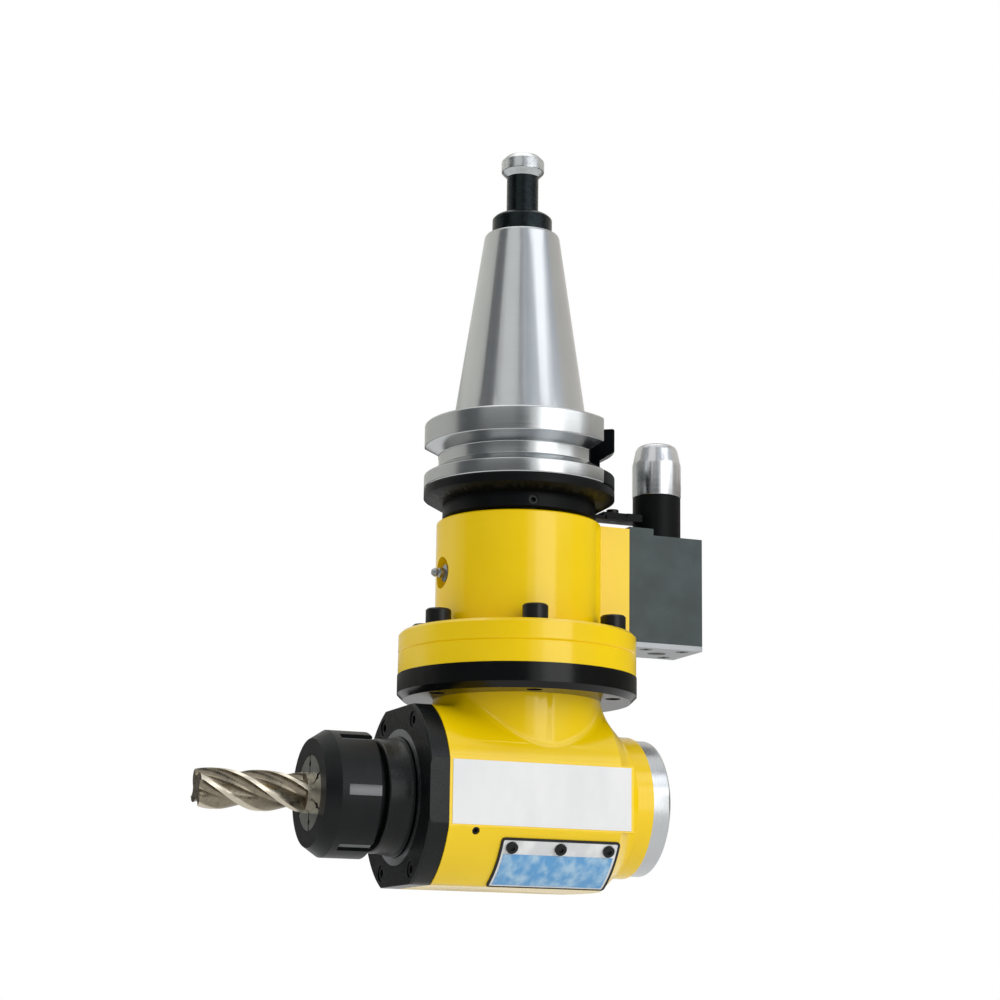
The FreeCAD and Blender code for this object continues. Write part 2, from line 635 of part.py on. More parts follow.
def pull_stud():
    head = S.stud_head_dia / 2
    neck = S.stud_neck_dia / 2
    rim = S.stud_flange_dia / 2
    seat = S.taper_length
    neck_foot = seat + S.stud_flange_height
    neck_top = neck_foot + S.stud_neck_length
    top = neck_top + S.stud_head_height
    keep(turned("pull_stud", [
        (0, seat - S.stud_thread_length), (S.stud_thread_dia / 2, seat - S.stud_thread_length),
        (S.stud_thread_dia / 2, seat), (rim, seat), (rim, neck_foot - S.stud_flange_bevel),
        (rim - S.stud_flange_bevel, neck_foot), (neck, neck_foot), (neck, neck_top),
        (head, neck_top + S.stud_head_slope), (head, top - S.stud_bevel), (head - S.stud_bevel, top), (0, top),
    ]), "pull_stud")


def orientation_ring():
    bore = S.orient_bore_dia / 2
    rim = S.flange_dia / 2
    bevel_foot = Z_FLANGE_END - S.orient_rim_height - S.orient_bevel_height
    blank = turned("ring_turning", [
        (bore, Z_FLANGE_END), (rim - S.groove_seam, Z_FLANGE_END), (rim, Z_FLANGE_END - S.groove_seam),
        (rim, Z_FLANGE_END - S.orient_rim_height), (S.orient_bevel_dia / 2, bevel_foot),
        (S.orient_body_dia / 2, bevel_foot), (S.orient_body_dia / 2, Z_ORIENT_END + S.edge_break),
        (S.orient_body_dia / 2 - S.edge_break, Z_ORIENT_END), (bore, Z_ORIENT_END),
    ])
    half = S.notch_width / 2
    notch = box((S.notch_floor, S.orient_bevel_dia / 2), (-half, half), (Z_ORIENT_END, bevel_foot))
    middle = (bevel_foot + Z_ORIENT_END) / 2
    hole = rod(S.ring_screw_dia / 2, bore, rim, (0, middle), "X")
    keep(cut(blank, [notch, turned_about(hole, S.ring_screw_turn)]), "orientation_ring")
    top = S.orient_body_dia / 2 - S.edge_break
    grub = grub_screw(S.ring_screw_dia, top - bore, S.ring_screw_dia / 2)
    outward = FreeCAD.Placement(FreeCAD.Vector(top, 0, middle), FreeCAD.Rotation(FreeCAD.Vector(0, 1, 0), 90))
    around = FreeCAD.Placement(
        FreeCAD.Vector(), FreeCAD.Rotation(FreeCAD.Vector(0, 0, 1), float(S.ring_screw_turn)))
    placed("ring_screw", grub, around.multiply(outward))


def flange_screw_places(height):
    """Places on the bolt circle, without the one under the boss."""
    places = ring_places(S.flange_screw_count, S.flange_screw_circle, height, S.flange_screw_turn)
    places.remove(max(places, key=lambda place: place.Base.x))
    return places


def upper_housing():
    barrel = S.housing_dia / 2
    seat = S.input_od / 2
    rim = S.swivel_dia / 2
    blank = turned("housing_turning", [
        (S.seal_dia / 2, Z_HOUSING_TOP), (barrel - S.edge_break, Z_HOUSING_TOP),
        (barrel, Z_HOUSING_TOP - S.edge_break), (barrel, Z_FLANGE_SEAT),
        (rim - S.edge_break * 2, Z_FLANGE_SEAT), (rim, Z_FLANGE_SEAT - S.edge_break * 2),
        (rim, Z_SWIVEL_TOP + S.groove_seam), (rim - S.groove_seam, Z_SWIVEL_TOP), (seat, Z_SWIVEL_TOP),
        (seat, Z_BEARING_TOP), (S.seal_dia / 2, Z_BEARING_TOP),
    ])
    half = S.boss_width / 2
    mid_wall = (seat + barrel) / 2
    boss = box((mid_wall, S.boss_reach), (-half, half), (Z_FLANGE_SEAT, Z_HOUSING_TOP))
    solid = fused([blank, boss])
    nipple_height = Z_HOUSING_TOP - S.nipple_drop
    pocket = rod(S.nipple_pocket_dia / 2, -barrel * 1.2, -(barrel - S.nipple_pocket_depth),
                 (0, nipple_height), "X")
    thread = rod(S.nipple_thread_dia / 2, -barrel, -seat, (0, nipple_height), "X")
    tools = [pocket, thread]
    for y in (-S.block_screw_spread / 2, S.block_screw_spread / 2):
        tools.append(rod(S.block_screw_dia / 2, S.boss_reach - S.block_screw_bite, S.boss_reach,
                         (y, Z_BLOCK_END + S.block_screw_rise), "X"))
    places = flange_screw_places(Z_FLANGE_SEAT)
    keep(drilled(cut(solid, tools), places, S.flange_screw_dia, S.housing_flange_height), "upper_housing")


def swivel_ring():
    rim = S.swivel_dia / 2
    spigot = S.input_od / 2
    neck = S.neck_dia / 2 + S.running_clearance
    rim_bore = S.neck_rim_dia / 2 + S.running_clearance
    rim_seat = Z_RIM_TOP + S.face_clearance
    web_end = Z_SWIVEL_TOP - S.swivel_web
    blank = turned("swivel_turning", [
        (S.swivel_bore_dia / 2, Z_SWIVEL_TOP + S.spigot_height), (spigot, Z_SWIVEL_TOP + S.spigot_height),
        (spigot, Z_SWIVEL_TOP), (rim - S.groove_seam, Z_SWIVEL_TOP), (rim, Z_SWIVEL_TOP - S.groove_seam),
        (rim, Z_CLAMP_TOP), (rim_bore, Z_CLAMP_TOP), (rim_bore, rim_seat), (neck, rim_seat),
        (neck, web_end), (S.swivel_bore_dia / 2, web_end),
    ])
    keep(drilled(blank, flange_screw_places(Z_SWIVEL_TOP), S.flange_screw_dia, S.swivel_height), "swivel_ring")


def clamp_ring():
    rim = S.swivel_dia / 2 + S.clamp_proud
    neck = S.neck_dia / 2 + S.running_clearance
    rim_bore = S.neck_rim_dia / 2 + S.running_clearance
    rim_seat = Z_RIM_END - S.face_clearance
    blank = turned("clamp_turning", [
        (rim_bore, Z_CLAMP_TOP), (rim, Z_CLAMP_TOP), (rim, Z_CLAMP_END + S.clamp_bevel),
        (rim - S.clamp_bevel, Z_CLAMP_END), (neck, Z_CLAMP_END), (neck, rim_seat), (rim_bore, rim_seat),
    ])
    keep(drilled(blank, flange_screw_places(Z_CLAMP_TOP), S.flange_screw_dia, S.clamp_height), "clamp_ring")


def swivel_screws():
    lock_top = Z_CLAMP_END + S.lock_screw_inset + S.lock_screw_length
    length = Z_FLANGE_SEAT - lock_top
    screw = cap_screw(S.flange_screw_dia, length, S.flange_head_dia, S.flange_head_height, S.flange_socket)
    copies("flange_screws", screw, flange_screw_places(Z_FLANGE_SEAT))
    grub = grub_screw(S.flange_screw_dia, S.lock_screw_length, S.lock_socket)
    flip = FreeCAD.Placement(FreeCAD.Vector(), FreeCAD.Rotation(FreeCAD.Vector(1, 0, 0), 180))
    places = flange_screw_places(Z_CLAMP_END + S.lock_screw_inset)
    copies("clamp_lock_screws", grub, [place.multiply(flip) for place in places])


def dust_seal():
    lip = S.hub_dia / 2 + S.running_clearance * 4
    top = Z_HOUSING_TOP - S.face_clearance
    keep(turned("dust_seal", [
        (lip, top - S.seal_height), (S.seal_dia / 2, top - S.seal_height), (S.seal_dia / 2, top),
        (lip + S.edge_break, top), (lip, top - S.edge_break),
    ]), "dust_seal")


def grease_nipple():
    """Made upright on its pocket's floor, then turned to point away from the block."""
    base = S.nipple_thread_dia / 2
    height = S.nipple_length
    depth = S.housing_dia / 2 - S.nipple_pocket_depth - S.input_od / 2
    nipple = turned("grease_nipple", [
        (0, -depth), (base, -depth), (base, 0), (base * 1.5, 0), (base * 1.5, height * 0.3),
        (base * 0.85, height * 0.36), (base * 0.85, height * 0.6), (base * 0.55, height * 0.7),
        (base * 0.8, height * 0.84), (base * 0.5, height), (0, height),
    ])
    nipple.Placement.Rotation = FreeCAD.Rotation(FreeCAD.Vector(0, 1, 0), -90)
    bind(nipple, "Placement.Base.x", -(S.housing_dia / 2 - S.nipple_pocket_depth))
    bind(nipple, "Placement.Base.z", Z_HOUSING_TOP - S.nipple_drop)
    keep(nipple, "grease_nipple")


def bearing_ring(seat_dia, side, bore, outside, ball_dia, low, high):
    """A bearing ring from its seat towards the balls. Three flats make the groove that holds them."""
    centre = (bore + outside) / 4
    reach = ball_dia / 2 + S.running_clearance
    shoulder = centre + reach * 0.6 * side
    floor = centre + reach * side
    middle = (low + high) / 2
    return turned("ring", [
        (seat_dia / 2, low), (shoulder, low), (shoulder, middle - reach * 0.814),
        (floor, middle - reach * 0.414), (floor, middle + reach * 0.414),
        (shoulder, middle + reach * 0.814), (shoulder, high), (seat_dia / 2, high),
    ])


def inner_ring(bore, outside, ball_dia, low, high):
    return bearing_ring(bore, -1, bore, outside, ball_dia, low, high)


def outer_ring(bore, outside, ball_dia, low, high):
    return bearing_ring(outside, 1, bore, outside, ball_dia, low, high)


def caged_balls(bore, outside, ball_dia, count, middle):
    """The balls of one bearing, held by a thin ring."""
    pitch = float(bore + outside) / 4
    radius = float(ball_dia) / 2
    cage_width = radius * 1.1
    cage_wall = radius * 0.3
    low = FreeCAD.Vector(0, 0, float(middle) - cage_width / 2)
    cage = Part.makeCylinder(pitch + cage_wall / 2, cage_width, low)
    cage = cage.cut(Part.makeCylinder(pitch - cage_wall / 2, cage_width, low))
    places = ring_places(count, pitch * 2, middle, 0)
    balls = [Part.makeSphere(radius).transformed(place.toMatrix()) for place in places]
    return cage.fuse(balls)


def input_bearings():
    spans = [
        (Z_BEARING_TOP - S.input_width, Z_BEARING_TOP),
        (Z_BEARING_END, Z_BEARING_END + S.input_width),
        (Z_NECK_BEARING_END, Z_NECK_BEARING_TOP),
    ]
    sizes = (S.input_bore, S.input_od, S.input_ball)
    keep(compound([inner_ring(*sizes, *span) for span in spans]), "input_bearing_inner_rings")
    keep(compound([outer_ring(*sizes, *span) for span in spans[:2]]), "upper_bearing_outer_rings")
    keep(outer_ring(*sizes, *spans[2]), "neck_bearing_outer_ring")
    balls = [caged_balls(*sizes, S.input_ball_count, (low + high) / 2) for low, high in spans]
    feature("upper_bearing_balls", Part.makeCompound(balls[:2]))
    feature("neck_bearing_balls", balls[2])


def input_line():
    thread = S.input_bore
    keep(washer("bearing_retainer", S.retainer_bore_dia, S.input_od,
                Z_BEARING_END - S.retainer_height, Z_BEARING_END), "bearing_retainer")
    keep(washer("neck_retainer", S.retainer_bore_dia, S.input_od,
                Z_NECK_BEARING_TOP, Z_NECK_BEARING_TOP + S.retainer_height), "neck_retainer")
    keep(washer("input_locknut", thread, S.locknut_dia, Z_LOCKNUT_END, Z_BEARING_END), "input_locknut")
    keep(washer("shaft_sleeve", thread, S.sleeve_dia, Z_NECK_BEARING_TOP, Z_LOCKNUT_END), "shaft_sleeve")


def positioning_block():
    half = S.boss_width / 2
    reach = (S.boss_reach, S.block_reach)
    body = box(reach, (-half, half), (Z_BLOCK_END, Z_BLOCK_TOP))
    step = box((S.boss_reach, S.boss_reach + S.block_step_length), (-half, half), (Z_BLOCK_TOP, Z_BLOCK_STEP))
    centre = (S.pin_offset, 0)
    bore = rod(S.collar_dia / 2 + S.running_clearance, Z_PIN_BORE_END, Z_BLOCK_STEP, centre)
    plug = rod(S.plug_dia / 2, Z_BLOCK_END, Z_PIN_BORE_END, centre)
    relief = rod(S.swivel_dia / 2 + S.face_clearance, Z_BLOCK_END, Z_FLANGE_SEAT)
    tools = [bore, plug, relief]
    height = Z_BLOCK_END + S.block_screw_rise
    for y in (-S.block_screw_spread / 2, S.block_screw_spread / 2):
        tools.append(rod(S.block_screw_dia / 2, S.boss_reach, S.block_reach, (y, height), "X"))
        tools.append(rod(S.block_screw_head / 2, S.block_reach - S.block_screw_sink, S.block_reach,
                         (y, height), "X"))
    solid = cut(fused([body, step]), tools)
    depth = S.plate_screw_length - S.base_plate_height
    places = [FreeCAD.Placement(FreeCAD.Vector(x, y, Z_BLOCK_END + depth), FreeCAD.Rotation())
              for x, y in plate_screw_spots()]
    keep(drilled(solid, places, S.plate_screw_dia, depth), "positioning_block")


def plate_screw_spots():
    """Rows of two from the far face inwards, while a head has room beside the flange."""
    half = S.plate_screw_spread / 2
    nearest = float(S.swivel_dia / 2 + S.face_clearance + S.plate_screw_head / 2)
    row = S.block_reach - S.plate_screw_inset
    spots = []
    while float(row) > nearest:
        spots += [(row, -half), (row, half)]
        row = row - S.plate_screw_pitch
    return spots


def base_plate():
    half = S.boss_width / 2
    slab = box((S.boss_reach, S.block_reach), (-half, half), (Z_PLATE_END, Z_BLOCK_END))
    relief = rod(S.swivel_dia / 2 + S.face_clearance, Z_PLATE_END, Z_BLOCK_END)
    hole = rod(S.plug_dia / 2, Z_PLATE_END, Z_BLOCK_END, (S.pin_offset, 0))
    solid = cut(slab, [relief, hole])
    places = [FreeCAD.Placement(FreeCAD.Vector(x, y, Z_BLOCK_END), FreeCAD.Rotation())
              for x, y in plate_screw_spots()]
    holes = drilled(solid, places, S.plate_screw_dia, S.base_plate_height)
    sinks = [FreeCAD.Placement(FreeCAD.Vector(x, y, Z_PLATE_END + plate_head_height()), FreeCAD.Rotation())
             for x, y in plate_screw_spots()]
    keep(drilled(holes, sinks, S.plate_screw_head, plate_head_height()), "base_plate")


def plate_head_height():
    return S.base_plate_height * 0.7


def block_screws():
    """The long screws that hold the block and the small ones that hold its base plate."""
    seat = S.block_reach - S.block_screw_sink
    length = seat - S.boss_reach + S.block_screw_bite
    head_height = S.block_screw_sink - S.face_clearance * 5
    screw = cap_screw(S.block_screw_dia, length, S.block_screw_head, head_height, S.block_screw_dia * 0.8)
    turn = FreeCAD.Rotation(FreeCAD.Vector(0, 1, 0), 90)
    height = Z_BLOCK_END + S.block_screw_rise
    places = [FreeCAD.Placement(FreeCAD.Vector(seat, y, height), turn)
              for y in (-S.block_screw_spread / 2, S.block_screw_spread / 2)]
    copies("block_screws", screw, places)
    short = cap_screw(S.plate_screw_dia, S.plate_screw_length - plate_head_height(), S.plate_screw_head,
                      plate_head_height(), S.plate_screw_dia * 0.6)
    flip = FreeCAD.Rotation(FreeCAD.Vector(1, 0, 0), 180)
    places = [FreeCAD.Placement(FreeCAD.Vector(x, y, Z_PLATE_END + plate_head_height()), flip)
              for x, y in plate_screw_spots()]
    copies("base_plate_screws", short, places)


def spring_plug():
    centre = (S.pin_offset, 0)
    low = Z_PLATE_END + S.face_clearance
    blank = rod(S.plug_dia / 2, low, Z_PIN_BORE_END, centre)
    half = S.plug_slot / 2
    slot = box((S.pin_offset - S.plug_dia, S.pin_offset + S.plug_dia), (-half, half),
               (low, low + S.plug_slot_depth))
    keep(cut(blank, [slot]), "spring_plug")


def pin_spring():
    low = float(Z_PIN_BORE_END + S.spring_play + S.spring_wire / 2)
    high = float(Z_COLLAR_END - S.spring_play - S.spring_wire / 2)
    radius = float(S.spring_dia) / 2
    wire_radius = float(S.spring_wire) / 2
    height = high - low
    path = Part.Wire(Part.makeHelix(height / float(S.spring_turns), height, radius).Edges)
    start = FreeCAD.Vector(radius, 0, 0)
    section = Part.Wire(Part.Circle(start, FreeCAD.Vector(0, 1, 0), wire_radius).toShape())
    coil = path.makePipeShell([section], True, True)
    feature("pin_spring", coil, FreeCAD.Placement(FreeCAD.Vector(S.pin_offset, 0, low), FreeCAD.Rotation()))


def locating_pin():
    nose = S.pin_dia / 2
    tip = S.pin_tip_dia / 2
    stem = S.pin_stem_dia / 2
    pin = turned("locating_pin", [
        (0, Z_COLLAR_END), (stem, Z_COLLAR_END), (stem, Z_COLLAR_TOP), (nose, Z_COLLAR_TOP),
        (nose, Z_PIN_TOP - S.pin_taper_height), (tip, Z_PIN_TOP - S.pin_round),
        (tip - S.pin_round / 3, Z_PIN_TOP - S.pin_round / 3), (S.pin_tip_flat_dia / 2, Z_PIN_TOP),
        (0, Z_PIN_TOP),
    ])
    bind(pin, "Placement.Base.x", S.pin_offset)
    keep(pin, "locating_pin")
    sleeve = washer("collar_turning", S.pin_stem_dia, S.collar_dia, Z_COLLAR_END, Z_COLLAR_TOP)
    bind(sleeve, "Placement.Base.x", S.pin_offset)
    half = S.arm_width / 2
    slot = box((S.pin_offset - nose, S.pin_offset - stem), (-half, half), (Z_ARM_END, Z_ARM_TOP))
    keep(cut(sleeve, [slot]), "pin_collar")


def lock_arm():
    half = S.arm_width / 2
    arm_end = S.pin_offset - S.pin_stem_dia / 2
    lap_end = S.arm_tip + S.tongue_lap
    middle = (Z_ARM_TOP + Z_ARM_END) / 2
    bar = box((S.arm_tip, arm_end), (-half, half), (Z_ARM_END, Z_ARM_TOP))
    lap = box((S.arm_tip, lap_end), (-half, half), (middle, Z_ARM_TOP))
    centre = (S.arm_tip + S.tongue_lap / 2, 0)
    stem = rod(S.pin_stem_dia / 2, Z_ARM_END, Z_ARM_TOP, (S.pin_offset, 0))
    hole = rod(S.tongue_screw_dia / 2, Z_ARM_END, Z_ARM_TOP, centre)
    keep(cut(bar, [lap, hole, stem]), "lock_arm")
    reach = S.orient_body_dia / 2 + S.tongue_gap
    side = S.tongue_width / 2
    tip = box((reach, S.arm_tip), (-side, side), (Z_ARM_END, middle))
    strap = box((S.arm_tip - S.tongue_gap * 3, lap_end), (-side, side), (middle, Z_ARM_TOP))
    upper = rod(S.tongue_screw_dia / 2, middle, Z_ARM_TOP, centre)
    keep(cut(fused([tip, strap]), [upper]), "lock_tongue")
    length = S.arm_height
    screw = cap_screw(S.tongue_screw_dia, length, S.tongue_screw_head, S.tongue_screw_rise,
                      S.tongue_screw_dia * 0.75)
    place = FreeCAD.Placement(FreeCAD.Vector(centre[0], 0, Z_ARM_TOP), FreeCAD.Rotation())
    placed("tongue_screw", screw, place)


def head_housing():
    body = S.body_dia / 2
    barrel = rod(body, -S.body_front, S.body_back, (0, Z_AXIS), "X")
    slope = cone(body, S.tail_dia / 2, S.body_back, S.tail_start)
    tail = rod(S.tail_dia / 2, S.tail_start, S.tail_end, (0, Z_AXIS), "X")
    neck = rod(S.neck_dia / 2, Z_AXIS, Z_NECK_TOP)
    rim = rod(S.neck_rim_dia / 2, Z_RIM_END, Z_RIM_TOP)
    wide = body * 2
    bottom = box((-wide, wide), (-wide, wide), (Z_AXIS - wide, Z_AXIS - S.bottom_drop))
    top = box((-wide, wide), (-wide, wide), (Z_AXIS + S.top_rise, Z_AXIS + wide))
    flat = box((-wide, wide), (-wide, -S.side_flat), (Z_AXIS - body, Z_AXIS + body))
    pad = label_pad(-S.body_front, S.side_flat_end, -S.side_flat, -S.tail_dia / 2)
    chamber = rod(S.cavity_dia / 2, -S.front_start, S.rear_start, (0, Z_AXIS), "X")
    front = rod(S.front_od / 2, -S.body_front, -S.front_start, (0, Z_AXIS), "X")
    rear = rod(S.rear_od / 2, S.rear_start, S.tail_end, (0, Z_AXIS), "X")
    shaft = rod(S.cavity_dia / 2, Z_AXIS, Z_NECK_BEARING_END)
    seat = rod(S.input_od / 2, Z_NECK_BEARING_END, Z_NECK_TOP)
    recess = plate_sector(body - S.plate_thickness + S.plate_proud, body * 1.1, S.plate_gap)
    turning = cut(fused([barrel, slope, tail]), [bottom, top, flat])
    tools = [chamber, front, rear, shaft, seat, recess]
    solid = cut(fused([turning, pad, neck, rim]), tools)
    front = drilled(solid, cover_screw_places(S.body_front), S.cover_screw_dia, cover_screw_depth(), SPINDLE_FRAME)
    side = drilled(front, name_screw_places(), S.name_screw_dia, S.name_screw_length, SPINDLE_FRAME)
    plug = [radial_place(S.plug_screw_place, S.plug_screw_angle, body)]
    keep(drilled(side, plug, S.plug_screw_dia, S.plug_screw_length, SPINDLE_FRAME), "head_housing")


def label_pad(front, back, outside, inside):
    """A block as high as the flat that it makes on the barrel."""
    radius = S.body_dia / 2
    square = radius * radius - S.side_flat * S.side_flat
    half = Size("sqrt(%s)" % formula(square), math.sqrt(float(square)))
    return box((front, back), (outside, inside), (Z_AXIS - half, Z_AXIS + half))


def plate_sector(inner_radius, outer_radius, gap):
    """A part of a pipe round the spindle axis, over the name plate's angle and length."""
    low = -(S.plate_back + gap)
    high = S.plate_front + gap
    gap_angle = Size("(%s * 180 / pi)" % formula(gap / (S.body_dia / 2)),
                     math.degrees(float(gap) / (float(S.body_dia) / 2)))
    start = -(S.plate_top_angle + 90) - S.plate_span - gap_angle
    pieces = []
    for radius in (outer_radius, inner_radius):
        piece = rod(radius, low, high)
        bind(piece, "Angle", S.plate_span + gap_angle * 2)
        pieces.append(piece)
    sector = turned_about(cut(pieces[0], [pieces[1]]), start)
    return on_spindle(compound([sector]))


def radial_place(station, below_horizontal, radius):
    """A place on the barrel, near side, that faces away from the spindle axis."""
    turn = math.radians(-90 - float(below_horizontal))
    direction = FreeCAD.Vector(math.cos(turn), math.sin(turn), 0)
    base = direction * float(radius)
    base.z = float(station)
    return FreeCAD.Placement(base, FreeCAD.Rotation(FreeCAD.Vector(0, 0, 1), direction))


def name_screw_places():
    """Three places in a row under the plate's upper edge."""
    radius = S.body_dia / 2 + S.plate_proud
    angle = S.plate_top_angle + S.name_screw_angle
    front = S.plate_front - S.name_screw_inset
    back = -(S.plate_back - S.name_screw_inset)
    return [radial_place(station, angle, radius) for station in (front, (front + back) / 2, back)]


def name_plate():
    body = S.body_dia / 2
    outside = body + S.plate_proud
    places = name_screw_places()
    sector = plate_sector(outside - S.plate_thickness, outside, 0)
    keep(drilled(sector, places, S.name_screw_dia, S.name_screw_length, SPINDLE_FRAME), "name_plate")
    screw = cap_screw(S.name_screw_dia, S.name_screw_length, S.name_screw_head, S.name_screw_rise,
                      S.name_screw_dia * 0.8)
    copies("name_plate_screws", screw, places, SPINDLE_FRAME)
    low = -(S.plate_back - S.label_margin)
    high = S.plate_front - S.label_margin
    span = S.plate_span - S.label_angle - S.label_foot_angle
    pieces = []
    for radius in (outside + S.label_thickness, outside):
        piece = rod(radius, low, high)
        bind(piece, "Angle", span)
        pieces.append(piece)
    start = -(S.plate_top_angle + 90) - S.label_angle - span
    label = turned_about(cut(pieces[0], [pieces[1]]), start)
    keep(on_spindle(compound([label])), "name_label")


def side_label():
    """A plain label on the pad, with a margin all round."""
    sheet = label_pad(-S.body_front + S.label_margin, S.side_flat_end - S.label_margin,
                      -S.side_flat - S.label_thickness, -S.side_flat)
    bind(sheet, "Height", S.side_label_height)
    bind(sheet, "Placement.Base.z", Z_AXIS - S.side_label_height / 2)
    keep(sheet, "side_label")


def grease_plug():
    grub = grub_screw(S.plug_screw_dia, S.plug_screw_length - S.edge_break, S.plug_screw_dia / 2)
    place = radial_place(S.plug_screw_place, S.plug_screw_angle, S.body_dia / 2 - S.edge_break)
    placed("grease_plug", grub, SPINDLE_FRAME.multiply(place))


def cover_screw_places(height):
    """Two screws above and two below, as the flats leave no room at the sides."""
    turn = float(S.cover_screw_turn)
    reach = float(S.cover_screw_circle) / 2
    places = []
    for angle in (turn, 180 - turn, 180 + turn, -turn):
        across = math.radians(angle)
        base = FreeCAD.Vector(reach * math.cos(across), reach * math.sin(across), float(height))
        places.append(FreeCAD.Placement(base, FreeCAD.Rotation(FreeCAD.Vector(0, 0, 1), angle)))
    return places


def cover_screw_depth():
    return S.cover_screw_length - (S.cover_height - S.cover_screw_sink)


def front_cover():
    rim = S.cover_dia / 2
    pocket = S.cover_pocket_dia / 2
    web = S.cover_web_bore / 2
    pocket_floor = COVER_FACE - S.seal_ring_height
    blank = turned("cover_turning", [
        (S.front_od / 2, S.body_front), (rim, S.body_front), (rim, COVER_FACE - S.edge_break),
        (rim - S.edge_break, COVER_FACE), (pocket, COVER_FACE), (pocket, pocket_floor),
        (web, pocket_floor), (web, FRONT_END), (S.front_od / 2, FRONT_END),
    ])
    wide = rim * 2
    low = box((-wide, -S.bottom_drop), (-wide, wide), (S.body_front, COVER_FACE))
    high = box((S.top_rise, wide), (-wide, wide), (S.body_front, COVER_FACE))
    side = box((-wide, wide), (-wide, -S.side_flat), (S.body_front, COVER_FACE))
    solid = cut(blank, [low, high, side])
    sunk = drilled(solid, cover_screw_places(COVER_FACE), S.cover_screw_head, S.cover_screw_sink)
    cover = drilled(sunk, cover_screw_places(COVER_FACE), S.cover_screw_dia, S.cover_height)
    keep(on_spindle(cover), "front_cover")
    head_height = S.cover_screw_sink - S.face_clearance * 6
    screw = cap_screw(S.cover_screw_dia, S.cover_screw_length, S.cover_screw_head, head_height,
                      S.cover_screw_dia * 0.8)
    places = cover_screw_places(COVER_FACE - S.cover_screw_sink)
    copies("cover_screws", screw, places, SPINDLE_FRAME)


def cover_seals():
    land = S.nose_land_dia + S.running_clearance * 4
    ring = turned("seal_ring", [
        (S.seal_ring_bore / 2, COVER_FACE - S.seal_ring_height),
        (S.cover_pocket_dia / 2, COVER_FACE - S.seal_ring_height),
        (S.cover_pocket_dia / 2, COVER_FACE + S.face_clearance),
        (S.seal_ring_bore / 2, COVER_FACE + S.face_clearance),
    ])
    keep(on_spindle(ring), "seal_ring")
    lip = washer("oil_seal", land, S.cover_web_bore, FRONT_END + S.face_clearance, COVER_FACE - S.seal_ring_height)
    keep(on_spindle(lip), "oil_seal")


def spindle_bearings():
    front = (S.front_bore, S.front_od, S.front_ball)
    rear = (S.rear_bore, S.rear_od, S.rear_ball)
    first = (S.front_start, S.front_start + S.front_width)
    second = (S.front_start + S.front_width, FRONT_END)
    last = (REAR_END, -S.rear_start)
    inner = [inner_ring(*front, *first), inner_ring(*front, *second), inner_ring(*rear, *last)]
    outer = [outer_ring(*front, *first), outer_ring(*front, *second), outer_ring(*rear, *last)]
    keep(on_spindle(compound(inner)), "spindle_bearing_inner_rings")
    keep(on_spindle(compound(outer)), "spindle_bearing_outer_rings")
    balls = [caged_balls(*front, S.front_ball_count, (low + high) / 2) for low, high in (first, second)]
    balls.append(caged_balls(*rear, S.rear_ball_count, (last[0] + last[1]) / 2))
    feature("spindle_bearing_balls", Part.makeCompound(balls), SPINDLE_FRAME)


def rear_cap():
    inside = S.cap_bore_dia / 2
    spigot = S.rear_od / 2
    rim = S.cap_dia / 2
    end = -(S.tail_end + S.cap_height)
    blank = turned("cap_turning", [
        (0, end + S.cap_wall), (inside, end + S.cap_wall), (inside, REAR_END), (spigot, REAR_END),
        (spigot, -S.tail_end), (rim, -S.tail_end), (rim, end + S.edge_break), (rim - S.edge_break, end), (0, end),
    ])
    half = S.cap_hole_spread / 2
    depth = S.cap_wall * 0.6
    holes = [rod(S.cap_hole_dia / 2, end, end + depth, (0, y)) for y in (-half, half)]
    keep(on_spindle(cut(blank, holes)), "rear_cap")


def output_spindle():
    waist = S.waist_dia / 2
    journal = S.front_bore / 2
    land = S.nose_land_dia / 2
    thread = S.nose_thread_dia / 2
    tail_thread = S.rear_thread_dia / 2
    gear_seat = S.output_gear_bore / 2
    mouth = S.collet_seat_dia / 2
    seat_foot = mouth - S.collet_seat_depth * SEAT_SLOPE
    room = S.shank_bore_dia / 2
    bore_end = SEAT_END - S.shank_bore_depth
    locknut_start = S.front_start - S.front_locknut_height
    blank = turned("spindle_turning", [
        (0, -S.spindle_tail), (tail_thread, -S.spindle_tail), (tail_thread, REAR_END),
        (S.rear_bore / 2, REAR_END), (S.rear_bore / 2, -S.rear_start), (gear_seat, -S.rear_start),
        (gear_seat, -GEAR_TOE), (waist, -GEAR_TOE), (waist, locknut_start), (journal, locknut_start),
        (journal, FRONT_END), (land, FRONT_END), (land, S.nose_thread_start), (thread, S.nose_thread_start),
        (thread, S.nose_end - S.edge_break), (thread - S.edge_break, S.nose_end), (mouth, S.nose_end),
        (seat_foot, SEAT_END), (room, SEAT_END), (room, bore_end), (0, bore_end),
    ])
    keep(on_spindle(cut(blank, [output_key_box()])), "output_spindle")
    nut = washer("front_locknut", S.front_bore, S.front_locknut_dia, locknut_start, S.front_start)
    keep(on_spindle(nut), "front_locknut")
    nut = washer("rear_locknut", S.rear_thread_dia, S.rear_locknut_dia, REAR_END - S.rear_locknut_height, REAR_END)
    keep(on_spindle(nut), "rear_locknut")


def nose_collar():
    back = S.nose_collar_start
    front = back + S.nose_collar_length
    foot = S.nose_collar_foot_dia / 2
    lip = S.nose_collar_dia / 2
    collar = turned("nose_collar", [
        (S.nose_land_dia / 2, back), (foot, back), (foot, back + S.edge_break * 2),
        ((foot + lip) / 2 - S.edge_break / 4, back + S.nose_collar_length * 0.35),
        (lip, back + S.nose_collar_length * 0.7), (lip, front - S.edge_break), (lip - S.edge_break, front),
        (S.nose_land_dia / 2, front),
    ])
    keep(on_spindle(collar), "nose_collar")


